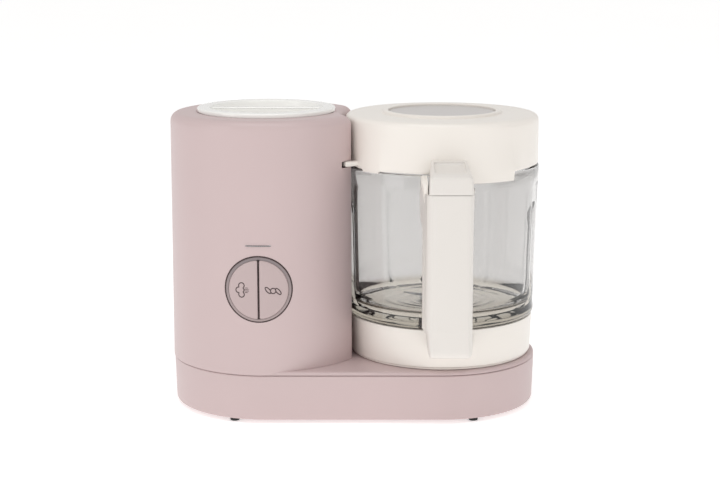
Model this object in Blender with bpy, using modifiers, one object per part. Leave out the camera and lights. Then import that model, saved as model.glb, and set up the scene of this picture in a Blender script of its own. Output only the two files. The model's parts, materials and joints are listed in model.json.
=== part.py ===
"""Baby food maker: a steam tower and a glass blending jug that share one stadium-shaped base.

Helpers take millimetres and build in metres. +X runs from the tower to the jug, +Y to the rear and +Z up.
The tower and jug axes stand in one plane, AXIS_Y behind the middle of the footprint. Heights are drawn
from a level just inside the tub's floor, and settle() raises the whole object onto z = 0 at the end.
"""
import math

import bmesh
import bpy
from mathutils import Matrix

MM = 0.001
GAP = 0.3

# Driving dimensions, in millimetres
AXIS_Y = 14.95
TOWER_X = -67.75
JUG_X = 67.75
END_X = 66.0
BASE_R_TOP = 76.0
BASE_R_BOTTOM = 75.0
FOOT_LOW = -2.2
FOOT_H = 2.55
TUB_BOTTOM = FOOT_LOW + FOOT_H + GAP
SEAM_Z = 35.3
DECK_BOTTOM = 35.6
DECK_TOP = 38.3
WALL = 2.5
BOSS_TOP = 37.0
BOSS_LENGTH = 21.0
BOSS_R = 5.0
BOSS_BORE_R = 1.8
SCREW_SHANK_R = 1.5
SCREW_HEAD_R = 3.0
SCREW_TOP = 28.0

TOWER_R_TOP = 73.7
TOWER_R_BOTTOM = 74.8
TOWER_TOP = 226.6
TOWER_FILLET = 7.0
CRADLE_R = 77.0
TANK_R = 49.4
TANK_HOLE_R = 49.8
TANK_FLOOR = 150.0
TANK_WALL = 2.4
TANK_TOP = 226.4
NOZZLE_Z = 208.0
NOZZLE_R = 3.8
NOZZLE_BORE_R = 2.2
HEATER_TOP = 149.7
HEATER_BOTTOM = 144.5
HEATER_R = 44.0
ELEMENT_R = 32.0
ELEMENT_Z = 140.6
ELEMENT_TUBE_R = 3.4
GLAND_Z = 56.0
GLAND_R = 8.0
GLAND_NECK_R = 5.0
GLAND_BORE_R = 3.2

CAP_R = 53.3
CAP_UNDER = 226.9
CAP_RIM_R = 2.4
CAP_RIM_Z = 227.7
CAP_BAR_LENGTH = 82.5
CAP_BAR_WIDTH = 5.0
SEAL_R = 45.2

BUTTON_X = -70.3
BUTTON_Z = 101.3
BEZEL_R = 25.5
BUTTON_R = 22.4
DIVIDER = 1.3
BUTTON_FACE_R = 75.1
BEZEL_FACE_R = 74.6
LINE_Z = 134.2
LINE_LENGTH = 18.0
LINE_HEIGHT = 1.2

RING_R_BOTTOM = 70.9
RING_R_TOP = 72.0
RING_TOP = 69.5
RING_BOTTOM = 40.6
GLASS_FLOOR = RING_TOP + GAP
GLASS_R_BOTTOM = 72.5
GLASS_R_TOP = 75.4
GLASS_RIM = 186.4
GLASS_NECK_R = 71.0
GLASS_NECK_TOP = 197.0
GLASS_WALL = 3.5

LID_R = 74.6
LID_EDGE = 187.6
LID_TOP = 225.6
LID_FILLET = 8.0
THROAT_R = 41.4
PLUG_R = 40.9
PLUG_NECK_R = 36.4

HANDLE_X = 68.7
HANDLE_W = 40.4
HANDLE_ROOT = -60.0
HANDLE_TAPER = 0.2
HANDLE_FRONT = -108.0
HANDLE_BACK = -94.0
HANDLE_TOP = 177.7
HANDLE_BOTTOM = 56.5
GRIP_TOP = 158.0
GRIP_BOTTOM = 69.3
GRIP_MIDDLE = 114.0
GRIP_CORNER = 7.0

RIB_ANGLES = (53, 125, 197, 269, 341)
RIB_PLACE_R = 69.0
RIB_R = 3.6
RIB_MIDDLE = 128.0
RIB_LENGTH = 98.0
BUSH_HOLE_R = 12.5
BOWL_INSIDE = 75.0

TAB_ANGLE = 209.0
NOTCH_ANGLE = 212.0
LUG_LEFT = ("lug_left", 217, 229.5, 185.8)
LUG_RIGHT = ("lug_right", 289, 312, 180.6)

MOTOR_Y = 18.0
MOTOR_R = 30.0
PULLEY_LOW = 16.0
PULLEY_HIGH = 28.0
SMALL_PULLEY_R = 9.0
LARGE_PULLEY_R = 22.0
SHAFT_R = 3.0
BORE_R = 3.4
MOTOR_TOP = 118.0
MOTOR_BOTTOM = 48.0
FAN_Z = 122.0
MOUNT_Z = 43.15
MOUNT_H = 9.1
BELT_Z = (PULLEY_LOW + PULLEY_HIGH) / 2
COUPLING_TEETH = (6, 8, 12)
FAN_VANES = (8, 10, 25)
BLADE_REACH = 33.0
BLADE_WIDTH = 14.0
BLADE_THICK = 1.2
HUB_R = 5.0

FOOT_X = 90.6
FOOT_Y = 64.0
FOOT_R = 3.6
SCREW_X = 32.0
SCREW_Y = 62.0

FINE = 40
ROUND = 24
SMALL = 14

PLASTICS = {
    "pink_plastic": ((0.69, 0.55, 0.54), 0.45, 0.0),
    "cream_plastic": ((0.87, 0.83, 0.78), 0.35, 0.0),
    "grey_plastic": ((0.56, 0.53, 0.50), 0.4, 0.0),
    "dark_plastic": ((0.04, 0.035, 0.035), 0.35, 0.0),
    "glass": ((0.85, 0.92, 0.9), 0.02, 0.0),
    "rubber": ((0.05, 0.05, 0.05), 0.8, 0.0),
    "silicone": ((0.8, 0.78, 0.74), 0.6, 0.0),
    "steel": ((0.65, 0.65, 0.66), 0.3, 1.0),
    "dark_chrome": ((0.3, 0.29, 0.3), 0.2, 1.0),
    "aluminium": ((0.75, 0.76, 0.78), 0.4, 1.0),
    "brass": ((0.75, 0.6, 0.3), 0.35, 1.0),
    "circuit_board": ((0.05, 0.25, 0.12), 0.5, 0.0),
}

TOWER = (TOWER_X, AXIS_Y)
JUG = (JUG_X, AXIS_Y)
MOTOR = (TOWER_X, AXIS_Y + MOTOR_Y)


def clear_scene():
    for item in list(bpy.data.objects):
        bpy.data.objects.remove(item, do_unlink=True)


def new_collection(name):
    collection = bpy.data.collections.new(name)
    bpy.context.scene.collection.children.link(collection)
    return collection


clear_scene()
PARTS = new_collection("baby_food_maker")
CUTTERS = new_collection("cutters")


def material(name):
    """The Principled material of that name, made the first time it is asked for."""
    found = bpy.data.materials.get(name)
    if found:
        return found
    colour, roughness, metallic = PLASTICS[name]
    made = bpy.data.materials.new(name)
    made.use_nodes = True
    shader = made.node_tree.nodes["Principled BSDF"]
    shader.inputs["Base Color"].default_value = (*colour, 1.0)
    shader.inputs["Roughness"].default_value = roughness
    shader.inputs["Metallic"].default_value = metallic
    return made


def add(name, mesh, slot, place=(0, 0, 0), turn=0.0):
    """One named piece, or a cutter when it has no material slot."""
    piece = bpy.data.objects.new(name, mesh)
    piece.location = [value * MM for value in place]
    piece.rotation_euler = (0, 0, math.radians(turn))
    if slot:
        mesh.materials.append(material(slot))
        PARTS.objects.link(piece)
    else:
        piece.hide_render = True
        piece.display_type = "WIRE"
        CUTTERS.objects.link(piece)
    return piece


def shade(mesh, angle=35):
    mesh.shade_smooth()
    mesh.set_sharp_from_angle(angle=math.radians(angle))


def arc(r, z, radius, start, end, count=4):
    """Points of an arc about (r, z) from start to end degrees, both ends included."""
    angles = [math.radians(start + (end - start) * i / count) for i in range(count + 1)]
    return [(r + radius * math.cos(a), z + radius * math.sin(a)) for a in angles]


def turned(name, slot, axis, profile, steps=ROUND, ring=False):
    """A piece turned about a vertical axis. The profile runs down its outer side."""
    mesh = bpy.data.meshes.new(name)
    points = [(r * MM, 0, z * MM) for r, z in profile]
    edges = [(i, i + 1) for i in range(len(points) - 1)]
    if ring:
        edges.append((len(points) - 1, 0))
    mesh.from_pydata(points, edges, [])
    piece = add(name, mesh, slot, (*axis, 0))
    screw = piece.modifiers.new("Turn", "SCREW")
    screw.axis = "Z"
    screw.steps = steps
    screw.render_steps = steps
    screw.use_merge_vertices = True
    screw.merge_threshold = 0.00001
    screw.use_smooth_shade = True
    return piece


def washer(name, slot, axis, inner, outer, low, high, steps=ROUND):
    """A plain ring of rectangular section."""
    profile = [(inner, high), (outer, high), (outer, low), (inner, low)]
    return turned(name, slot, axis, profile, steps, ring=True)


def rod(name, slot, place, radius, length, axis="Z", steps=SMALL, bevel=0.0):
    """A cylinder centred on place, along one of the frame's axes."""
    mesh = bpy.data.meshes.new(name)
    shape = bmesh.new()
    bmesh.ops.create_cone(shape, cap_ends=True, segments=steps, radius1=radius * MM,
                          radius2=radius * MM, depth=length * MM)
    lay = {"X": Matrix.Rotation(math.pi / 2, 4, "Y"), "Y": Matrix.Rotation(math.pi / 2, 4, "X")}
    bmesh.ops.transform(shape, matrix=lay.get(axis, Matrix.Identity(4)), verts=shape.verts)
    shape.to_mesh(mesh)
    shape.free()
    shade(mesh)
    piece = add(name, mesh, slot, place)
    round_edges(piece, bevel)
    return piece


def block(name, slot, place, size, bevel=0.0, turn=0.0):
    """A box centred on place."""
    mesh = bpy.data.meshes.new(name)
    shape = bmesh.new()
    bmesh.ops.create_cube(shape, size=MM)
    bmesh.ops.scale(shape, vec=size, verts=shape.verts)
    shape.to_mesh(mesh)
    shape.free()
    piece = add(name, mesh, slot, place, turn)
    round_edges(piece, bevel)
    return piece


def round_edges(piece, width, segments=2):
    if width <= 0:
        return
    bevel = piece.modifiers.new("Rounded edges", "BEVEL")
    bevel.width = width * MM
    bevel.segments = segments
    bevel.limit_method = "ANGLE"
    bevel.angle_limit = math.radians(40)


def flat_shape(name, slot, outline, thickness, place=(0, 0, 0), upright="Z"):
    """A closed outline given a thickness. Upright Y or X stands the outline up in XZ or YZ."""
    curve = bpy.data.curves.new(name, "CURVE")
    curve.dimensions = "2D"
    curve.fill_mode = "BOTH"
    curve.extrude = thickness * MM / 2
    spline = curve.splines.new("POLY")
    spline.points.add(len(outline) - 1)
    for point, (u, v) in zip(spline.points, outline):
        point.co = (u * MM, v * MM, 0, 1)
    spline.use_cyclic_u = True
    flat = bpy.data.objects.new(name + "_outline", curve)
    PARTS.objects.link(flat)
    graph = bpy.context.evaluated_depsgraph_get()
    mesh = bpy.data.meshes.new_from_object(flat.evaluated_get(graph))
    bpy.data.objects.remove(flat, do_unlink=True)
    shape = bmesh.new()
    shape.from_mesh(mesh)
    bmesh.ops.remove_doubles(shape, verts=shape.verts, dist=0.00001)
    stand = {"Y": Matrix.Rotation(math.pi / 2, 4, "X"),
             "X": Matrix.Rotation(math.pi / 2, 4, "Z") @ Matrix.Rotation(math.pi / 2, 4, "X")}
    bmesh.ops.transform(shape, matrix=stand.get(upright, Matrix.Identity(4)), verts=shape.verts)
    bmesh.ops.recalc_face_normals(shape, faces=shape.faces)
    shape.to_mesh(mesh)
    shape.free()
    mesh.materials.clear()
    return add(name, mesh, slot, place)


def boolean(piece, other, operation="DIFFERENCE"):
    change = piece.modifiers.new(operation.title(), "BOOLEAN")
    change.operation = operation
    change.solver = "EXACT"
    change.object = other


def stadium(radius, z, count=20):
    """A level ring of points round both ends of the base."""
    points = []
    for side, start in ((1, -90), (-1, 90)):
        for i in range(count + 1):
            angle = math.radians(start + 180 * i / count)
            points.append((side * END_X + radius * math.cos(angle),
                           AXIS_Y + radius * math.sin(angle), z))
    return points


def loft(name, slot, rings):
    """A closed skin through level rings of equal length, capped at the first and the last."""
    mesh = bpy.data.meshes.new(name)
    shape = bmesh.new()
    loops = [[shape.verts.new([v * MM for v in point]) for point in ring] for ring in rings]
    for lower, upper in zip(loops, loops[1:]):
        for i in range(len(lower)):
            j = (i + 1) % len(lower)
            shape.faces.new((lower[i], lower[j], upper[j], upper[i]))
    shape.faces.new(list(reversed(loops[0])))
    shape.faces.new(loops[-1])
    bmesh.ops.recalc_face_normals(shape, faces=shape.faces)
    shape.to_mesh(mesh)
    shape.free()
    shade(mesh)
    return add(name, mesh, slot)


def base():
    """The tub, the deck over it, the feet and the screws that hold the two together."""
    tub = loft("base_tub", "pink_plastic", [
        stadium(BASE_R_BOTTOM, TUB_BOTTOM),
        stadium(BASE_R_TOP, SEAM_Z),
        stadium(BASE_R_TOP - WALL, SEAM_Z),
        stadium(BASE_R_BOTTOM - WALL, TUB_BOTTOM + 3)])
    deck = loft("deck", "pink_plastic", [
        stadium(BASE_R_TOP, DECK_BOTTOM),
        stadium(BASE_R_TOP, DECK_BOTTOM + 1),
        stadium(BASE_R_TOP - 0.7, DECK_TOP - 0.7),
        stadium(BASE_R_TOP - 2.2, DECK_TOP)])
    corners = [(x, y) for x in (-1, 1) for y in (-1, 1)]
    for number, (side, end) in enumerate(corners, 1):
        x = side * SCREW_X
        y = AXIS_Y + end * SCREW_Y
        boss_z = BOSS_TOP - BOSS_LENGTH / 2
        boss = rod(f"boss_{number}", None, (x, y, boss_z), BOSS_R, BOSS_LENGTH)
        boolean(deck, boss, "UNION")
        boolean(deck, rod(f"boss_bore_{number}", None, (x, y, boss_z - 4), BOSS_BORE_R, 20.0))
        boolean(tub, rod(f"tub_hole_{number}", None, (x, y, TUB_BOTTOM + 1.5), SCREW_HEAD_R + 0.4, 6.0))
        head = TUB_BOTTOM + 0.5
        turned(f"base_screw_{number}", "steel", (x, y), [
            (0, SCREW_TOP), (SCREW_SHANK_R, SCREW_TOP), (SCREW_SHANK_R, head + 2),
            (SCREW_HEAD_R, head + 2), (SCREW_HEAD_R, head), (0, head)], 16)
        place = (side * FOOT_X, AXIS_Y + end * FOOT_Y, FOOT_LOW + FOOT_H / 2)
        side_word = "right" if side > 0 else "left"
        end_word = "rear" if end > 0 else "front"
        rod(f"foot_{end_word}_{side_word}", "rubber", place, FOOT_R, FOOT_H, bevel=0.5)
    boolean(deck, rod("deck_drive_hole", None, (*JUG, DECK_TOP), 9.0, 8.0, steps=ROUND))
    boolean(deck, rod("deck_motor_hole", None, (*MOTOR, DECK_TOP), 8.0, 8.0, steps=ROUND))


def tower_hollow():
    """The space inside the tower, used to cut its wall."""
    space = turned("tower_hollow", None, TOWER, [
        (0, TOWER_TOP - WALL),
        *arc(TOWER_R_TOP - TOWER_FILLET, TOWER_TOP - TOWER_FILLET, TOWER_FILLET - WALL, 90, 0, 3),
        (TOWER_R_BOTTOM - WALL, DECK_TOP - 4), (0, DECK_TOP - 4)], FINE)
    boolean(space, rod("hollow_cradle", None, (*JUG, 135), CRADLE_R + WALL, 230, steps=FINE))
    return space


def tower():
    """The steam tower's shell, with the cradle that the jug stands in and every hole through it."""
    shell = turned("tower_shell", "pink_plastic", TOWER, [
        (0, TOWER_TOP),
        *arc(TOWER_R_TOP - TOWER_FILLET, TOWER_TOP - TOWER_FILLET, TOWER_FILLET, 90, 0, 5),
        (TOWER_R_BOTTOM, DECK_TOP + GAP), (0, DECK_TOP + GAP)], FINE)
    boolean(shell, rod("cradle", None, (*JUG, 135), CRADLE_R, 220, steps=FINE))
    boolean(shell, tower_hollow())
    boolean(shell, rod("tank_hole", None, (*TOWER, 225), TANK_HOLE_R, 20, steps=FINE))
    panel = (BUTTON_X, AXIS_Y - 65, BUTTON_Z)
    boolean(shell, rod("panel_hole", None, panel, BEZEL_R + GAP, 40, "Y", steps=FINE))
    nozzle_hole = (JUG_X - CRADLE_R - 1, AXIS_Y, NOZZLE_Z)
    boolean(shell, rod("nozzle_hole", None, nozzle_hole, NOZZLE_R + 0.4, 10, "X"))
    gland_hole = (TOWER_X, AXIS_Y + 70, GLAND_Z)
    boolean(shell, rod("gland_hole", None, gland_hole, GLAND_NECK_R + GAP, 30, "Y"))
    angle = math.radians(NOTCH_ANGLE)
    notch = (JUG_X + 82 * math.cos(angle), AXIS_Y + 82 * math.sin(angle), 190.35)
    boolean(shell, block("tab_notch", None, notch, (14, 16, 5.1), turn=NOTCH_ANGLE))


def cable_gland():
    """The rubber gland that the cord would leave the tower through, with a flange outside the wall."""
    rear = AXIS_Y + TOWER_R_BOTTOM + GAP
    gland = rod("cable_gland", "rubber", (TOWER_X, rear + 1.5, GLAND_Z), GLAND_R, 3.0, "Y", bevel=0.6)
    boolean(gland, rod("gland_neck", None, (TOWER_X, rear - 4, GLAND_Z), GLAND_NECK_R, 10.0, "Y"), "UNION")
    boolean(gland, rod("gland_bore", None, (TOWER_X, rear - 3, GLAND_Z), GLAND_BORE_R, 24.0, "Y"))


def half_disc(side, radius, gap):
    """Half a disc to one side of an upright divider."""
    start = math.degrees(math.acos(gap / radius))
    points = arc(0, 0, radius, -start, start, 16)
    return [(side * u, v) for u, v in points]


def wrap_ring(name, inner, outer):
    """A band about the tower's axis, which gives the panel's pieces their curved faces."""
    return washer(name, None, TOWER, inner, outer, BUTTON_Z - 40, BUTTON_Z + 40, FINE * 2)


def panel():
    """The round control panel: bezel, two half-disc buttons, trim line, boards and switches."""
    centre = (BUTTON_X, AXIS_Y - 72, BUTTON_Z)
    bezel = rod("bezel", "dark_chrome", centre, BEZEL_R, 16, "Y", steps=FINE)
    boolean(bezel, wrap_ring("bezel_band", 67.0, BEZEL_FACE_R), "INTERSECT")
    for side, word in ((-1, "left"), (1, "right")):
        hole = half_disc(side, BUTTON_R + 0.4, DIVIDER / 2)
        boolean(bezel, flat_shape(f"bezel_hole_{word}", None, hole, 30, centre, "Y"))
        outline = half_disc(side, BUTTON_R, DIVIDER / 2 + 0.4)
        button = flat_shape(f"button_{word}", "pink_plastic", outline, 16, centre, "Y")
        boolean(button, wrap_ring(f"button_band_{word}", 70.0, BUTTON_FACE_R), "INTERSECT")
        switch = (BUTTON_X + side * 11, AXIS_Y - 61.0, BUTTON_Z)
        block(f"switch_{word}", "dark_plastic", switch, (6, 4, 6), 0.4)
    board = (BUTTON_X, AXIS_Y - 58.0 + GAP, BUTTON_Z)
    block("control_board", "circuit_board", board, (46, 1.6, 42))
    block("power_board", "circuit_board", (TOWER_X - 56, AXIS_Y + 4, 84), (1.6, 54, 60))
    line_size = (LINE_LENGTH, 8, LINE_HEIGHT)
    line = block("trim_line", "steel", (BUTTON_X, AXIS_Y - 74, LINE_Z), line_size)
    band = washer("trim_band", None, TOWER, BEZEL_FACE_R, BUTTON_FACE_R, LINE_Z - 12, LINE_Z + 12, FINE * 2)
    boolean(line, band, "INTERSECT")


def steam_unit():
    """The water tank and the nozzle that leads steam to the lid."""
    inner = TANK_R - TANK_WALL
    floor = TANK_FLOOR + 3
    hollow = turned("tank_hollow", None, TOWER, [
        (0, TANK_TOP + 14), (inner, TANK_TOP + 14), (inner, floor), (0, floor)], FINE)
    tank = turned("tank", "steel", TOWER, [
        (0, TANK_TOP), (TANK_R, TANK_TOP), (TANK_R, TANK_FLOOR), (0, TANK_FLOOR)], FINE)
    boolean(tank, hollow)
    tank_wall = (TOWER_X + TANK_R, AXIS_Y, NOZZLE_Z)
    boolean(tank, rod("tank_outlet", None, tank_wall, NOZZLE_R + GAP, 10, "X"))
    nozzle_x = TOWER_X + TANK_R - 1
    length = JUG_X - CRADLE_R + 1 - nozzle_x
    middle = (nozzle_x + length / 2, AXIS_Y, NOZZLE_Z)
    nozzle = rod("steam_nozzle", "steel", middle, NOZZLE_R, length, "X")
    boolean(nozzle, rod("nozzle_bore", None, middle, NOZZLE_BORE_R, length + 4, "X"))
    seal = (JUG_X - CRADLE_R - WALL - 1.2, AXIS_Y, NOZZLE_Z)
    nozzle_seal = rod("nozzle_seal", "silicone", seal, 6.5, 1.6, "X")
    boolean(nozzle_seal, rod("nozzle_seal_bore", None, seal, NOZZLE_R + GAP, 4, "X"))


def heater():
    """The plate under the tank and the tube that heats it."""
    turned("heater_plate", "aluminium", TOWER, [
        (0, HEATER_TOP), (HEATER_R, HEATER_TOP), (HEATER_R, HEATER_BOTTOM), (0, HEATER_BOTTOM)], ROUND)
    tube = arc(ELEMENT_R, ELEMENT_Z, ELEMENT_TUBE_R, 90, -240, 11)
    turned("heating_element", "steel", TOWER, tube, ROUND, ring=True)


def cap():
    """The round cap over the water tank, its finger bar and its seal."""
    shell = turned("cap_shell", "cream_plastic", TOWER, [
        (0, 223.0), (38.5, 223.0), (40.5, 224.5), (41.5, 228.6),
        *arc(43.8, CAP_RIM_Z, CAP_RIM_R, 130, 90, 2),
        *arc(CAP_R - CAP_RIM_R, CAP_RIM_Z, CAP_RIM_R, 90, 0, 3),
        (CAP_R, CAP_UNDER), (SEAL_R, CAP_UNDER), (SEAL_R, 222.2), (SEAL_R - 2, 222.2),
        (SEAL_R - 2, 218.6), (SEAL_R, 218.6), (SEAL_R, 216.0), (42.0, 216.0), (41.0, 220.5),
        (0, 220.5)], FINE)
    bar = block("cap_bar", None, (*TOWER, 225.4), (CAP_BAR_LENGTH, CAP_BAR_WIDTH, 8.4), 1.2)
    boolean(shell, bar, "UNION")
    washer("cap_seal", "silicone", TOWER, 43.5, 46.7, 218.9, 221.9, FINE)


def drive():
    """Motor, belt and the shaft that drives the blade, low in the base."""
    bore = BORE_R - 0.1
    shaft = [(0, FAN_Z + 4), (SHAFT_R, FAN_Z + 4), (SHAFT_R, 10), (0, 10)]
    turned("motor_shaft", "steel", MOTOR, shaft, SMALL)
    turned("motor_can", "steel", MOTOR, [
        (BORE_R + 0.4, MOTOR_TOP), (MOTOR_R - 2, MOTOR_TOP), (MOTOR_R, MOTOR_TOP - 2),
        (MOTOR_R, MOTOR_BOTTOM), (BORE_R + 0.4, MOTOR_BOTTOM)], ROUND, ring=True)
    mount = block("motor_mount", "aluminium", (*MOTOR, MOUNT_Z), (76, 50, MOUNT_H), 1.0)
    boolean(mount, rod("mount_hole", None, (*MOTOR, MOUNT_Z), 8, 16))
    fan = flat_shape("motor_fan", "grey_plastic", vanes(*FAN_VANES), 5, (*MOTOR, FAN_Z))
    boolean(fan, rod("fan_bore", None, (*MOTOR, FAN_Z), bore, 12))
    washer("motor_pulley", "dark_plastic", MOTOR, bore, SMALL_PULLEY_R, PULLEY_LOW, PULLEY_HIGH)
    washer("drive_pulley", "dark_plastic", JUG, bore, LARGE_PULLEY_R, PULLEY_LOW, PULLEY_HIGH)
    turned("drive_shaft", "steel", JUG, [(0, 41.7), (SHAFT_R, 41.7), (SHAFT_R, 10), (0, 10)], SMALL)
    washer("drive_bush", "brass", JUG, BORE_R, 8.6, 33.5, 41.4, SMALL)
    flat_shape("drive_coupling", "dark_plastic", vanes(*COUPLING_TEETH), 7, (*JUG, 45.5))
    belt = flat_shape("belt", "rubber", belt_line(1.6), 8, (0, 0, BELT_Z))
    boolean(belt, flat_shape("belt_inside", None, belt_line(GAP), 20, (0, 0, BELT_Z)))


def vanes(count, inner, outer):
    """A toothed outline whose points alternate in pairs between two radii."""
    points = []
    for i in range(count * 4):
        radius = outer if i % 4 < 2 else inner
        angle = math.tau * (i + 0.5) / (count * 4)
        points.append((radius * math.cos(angle), radius * math.sin(angle)))
    return points


def belt_line(offset):
    """The taut line round both pulleys, a little outside them."""
    dx = JUG[0] - MOTOR[0]
    dy = JUG[1] - MOTOR[1]
    lean = math.degrees(math.atan2(dy, dx))
    reach = math.hypot(dx, dy)
    wrap = math.degrees(math.acos((LARGE_PULLEY_R - SMALL_PULLEY_R) / reach))
    large = LARGE_PULLEY_R + offset
    small = SMALL_PULLEY_R + offset
    turn = 180 - wrap
    return [*arc(*JUG, large, lean - turn, lean + turn, 20),
            *arc(*MOTOR, small, lean + turn, lean + 360 - turn, 12)]


def jug():
    """The glass bowl on its ring, with the handle that joins the two."""
    turned("bowl_foot", "cream_plastic", JUG, [
        (67.4, RING_BOTTOM - GAP), (70.2, RING_BOTTOM - GAP), (69.8, DECK_TOP + GAP),
        (67.4, DECK_TOP + GAP)], FINE, ring=True)
    turned("bowl_ring", "cream_plastic", JUG, [
        (14, RING_TOP), (RING_R_TOP, RING_TOP), (RING_R_BOTTOM, RING_BOTTOM), (67.8, RING_BOTTOM),
        (68.6, 66.0), (14, 66.0)], FINE, ring=True)
    slope = (GLASS_R_TOP - GLASS_R_BOTTOM) / (GLASS_RIM - GLASS_FLOOR)
    inner_low = GLASS_R_BOTTOM - GLASS_WALL
    inner_high = GLASS_NECK_R - GLASS_WALL
    bowl = turned("glass_bowl", "glass", JUG, [
        (inner_high, GLASS_NECK_TOP), (GLASS_NECK_R, GLASS_NECK_TOP), (GLASS_NECK_R, GLASS_RIM),
        (GLASS_R_TOP - 0.8, GLASS_RIM), (GLASS_R_TOP, GLASS_RIM - 0.8),
        (GLASS_R_BOTTOM + slope * 3, GLASS_FLOOR + 3), (GLASS_R_BOTTOM - 1.5, GLASS_FLOOR),
        (BUSH_HOLE_R, GLASS_FLOOR), (BUSH_HOLE_R, BOWL_INSIDE), (inner_low - 8, BOWL_INSIDE),
        (inner_low - 2.4, BOWL_INSIDE + 2.4), (inner_low, BOWL_INSIDE + 8),
        (inner_high + 2.5, 180), (inner_high, GLASS_RIM)], FINE, ring=True)
    for angle in RIB_ANGLES:
        x = JUG_X + RIB_PLACE_R * math.cos(math.radians(angle))
        y = AXIS_Y + RIB_PLACE_R * math.sin(math.radians(angle))
        place = (x, y, RIB_MIDDLE)
        rib = rod(f"mixing_rib_{angle}", None, place, RIB_R, RIB_LENGTH, steps=16)
        boolean(bowl, rib, "UNION")
    handle()


def handle_outline():
    """The handle's side view: a bar with an arm to the glass above and to the ring below."""
    front = HANDLE_FRONT
    back = HANDLE_BACK
    return [(HANDLE_ROOT, HANDLE_TOP), *arc(front + 3, HANDLE_TOP - 3, 3, 90, 180, 2),
            *arc(front + 13, HANDLE_BOTTOM + 13, 13, 180, 270, 5), (HANDLE_ROOT, HANDLE_BOTTOM),
            (HANDLE_ROOT, GRIP_BOTTOM),
            *arc(back + GRIP_CORNER, GRIP_BOTTOM + GRIP_CORNER, GRIP_CORNER, 270, 180, 3),
            *arc(back + GRIP_CORNER, GRIP_TOP - GRIP_CORNER, GRIP_CORNER, 180, 90, 3),
            (HANDLE_ROOT, GRIP_TOP)]


def taper(piece):
    """Draws a piece that stands at the handle's root in towards the front, as the handle's flanks are."""
    for vertex in piece.data.vertices:
        share = (HANDLE_ROOT - vertex.co.y / MM) / (HANDLE_ROOT - HANDLE_FRONT)
        vertex.co.x *= 1 - HANDLE_TAPER * share
    return piece


def handle():
    """A hollow bar closed at the back by a cover and two screws, with a cheek up to the lid's edge."""
    root = (HANDLE_X, AXIS_Y, 0)
    grip = taper(flat_shape("handle", "cream_plastic", handle_outline(), HANDLE_W, root, "X"))
    round_edges(grip, 3.0)
    cheek_top = LID_EDGE - 0.4
    side_view = [(-62, 170), (-62, cheek_top), (-92, cheek_top), (-100, 184), (-101, 170)]
    cheek = flat_shape("handle_cheek", None, side_view, HANDLE_W - 1.2, root, "X")
    boolean(cheek, block("cheek_side", None, (HANDLE_X + 4, AXIS_Y - 85, 180), (HANDLE_W, 60, 40)))
    boolean(grip, taper(cheek), "UNION")
    boolean(grip, turned("handle_seat", None, JUG, [
        (0, 230), (GLASS_R_TOP + GAP, 230), (GLASS_R_TOP + GAP, 70), (RING_R_TOP + GAP, 70),
        (RING_R_TOP + GAP, 40), (0, 40)], FINE))
    pocket = (HANDLE_X, AXIS_Y + HANDLE_BACK - 3, GRIP_MIDDLE)
    boolean(grip, block("handle_pocket", None, pocket, (25, 10, 62)))
    cover_y = AXIS_Y + HANDLE_BACK - 1.4
    cover_place = (HANDLE_X, cover_y, GRIP_MIDDLE)
    cover = block("handle_cover", "cream_plastic", cover_place, (24.4, 2.0, 61.4))
    for word, z in (("upper", GRIP_MIDDLE + 20), ("lower", GRIP_MIDDLE - 20)):
        place = (HANDLE_X, cover_y - 1.5, z)
        boolean(cover, rod(f"cover_hole_{word}", None, place, 3.3, 8, "Y"))
        rod(f"handle_screw_{word}", "steel", place, 3.0, 4.4, "Y", bevel=0.4)


def blade_outline(reach, width):
    """A two-ended blade, swept to a point on one side at each end."""
    half = [(reach * 0.7, -width / 2), (reach, width * 0.25), (reach * 0.85, width / 2)]
    return half + [(-u, -v) for u, v in half]


def blades():
    """The blade unit: bush and nut through the bowl floor, shaft, hub, two blades and a cap."""
    turned("blade_bush", "steel", JUG, [
        (BORE_R, 79), (13, 79), (16, 77.6), (16, 76.6), (12, 76.6), (12, 59), (BORE_R, 59)],
        ROUND, ring=True)
    washer("blade_gasket", "silicone", JUG, 12.6, 15.6, 75.3, 76.3)
    washer("blade_nut", "dark_plastic", JUG, 12.9, 18, 60, 65.7, 12)
    turned("blade_shaft", "steel", JUG, [(0, 88), (SHAFT_R, 88), (SHAFT_R, 56.3), (0, 56.3)], SMALL)
    washer("blade_hub", "grey_plastic", JUG, BORE_R - 0.1, HUB_R, 79.4, 88.0)
    turned("blade_cap", "dark_plastic", JUG, [
        (0, 95), (4, 94.4), (6.6, 92), (7.4, 88.4), (0, 88.4)], SMALL)
    for word, z, turn in (("lower", 81.4, 20), ("upper", 85.6, 110)):
        outline = blade_outline(BLADE_REACH, BLADE_WIDTH)
        blade = flat_shape(f"blade_{word}", "steel", outline, BLADE_THICK, (*JUG, z))
        blade.rotation_euler = (0, 0, math.radians(turn))
        boolean(blade, rod(f"blade_hole_{word}", None, (*JUG, z), HUB_R + GAP, 8, steps=ROUND))
    flat_shape("jug_coupling", "dark_plastic", vanes(*COUPLING_TEETH), 6.4, (*JUG, 52.8))


def lug(name, start, end, low):
    """A curved lug that hangs below the lid's edge, outside the glass."""
    inner = arc(0, 0, GLASS_R_TOP + 0.5, start, end, 6)
    outer = arc(0, 0, GLASS_R_TOP + 3.0, end, start, 6)
    high = LID_EDGE + 4
    return flat_shape(name, None, inner + outer, high - low, (*JUG, (high + low) / 2))


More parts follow.
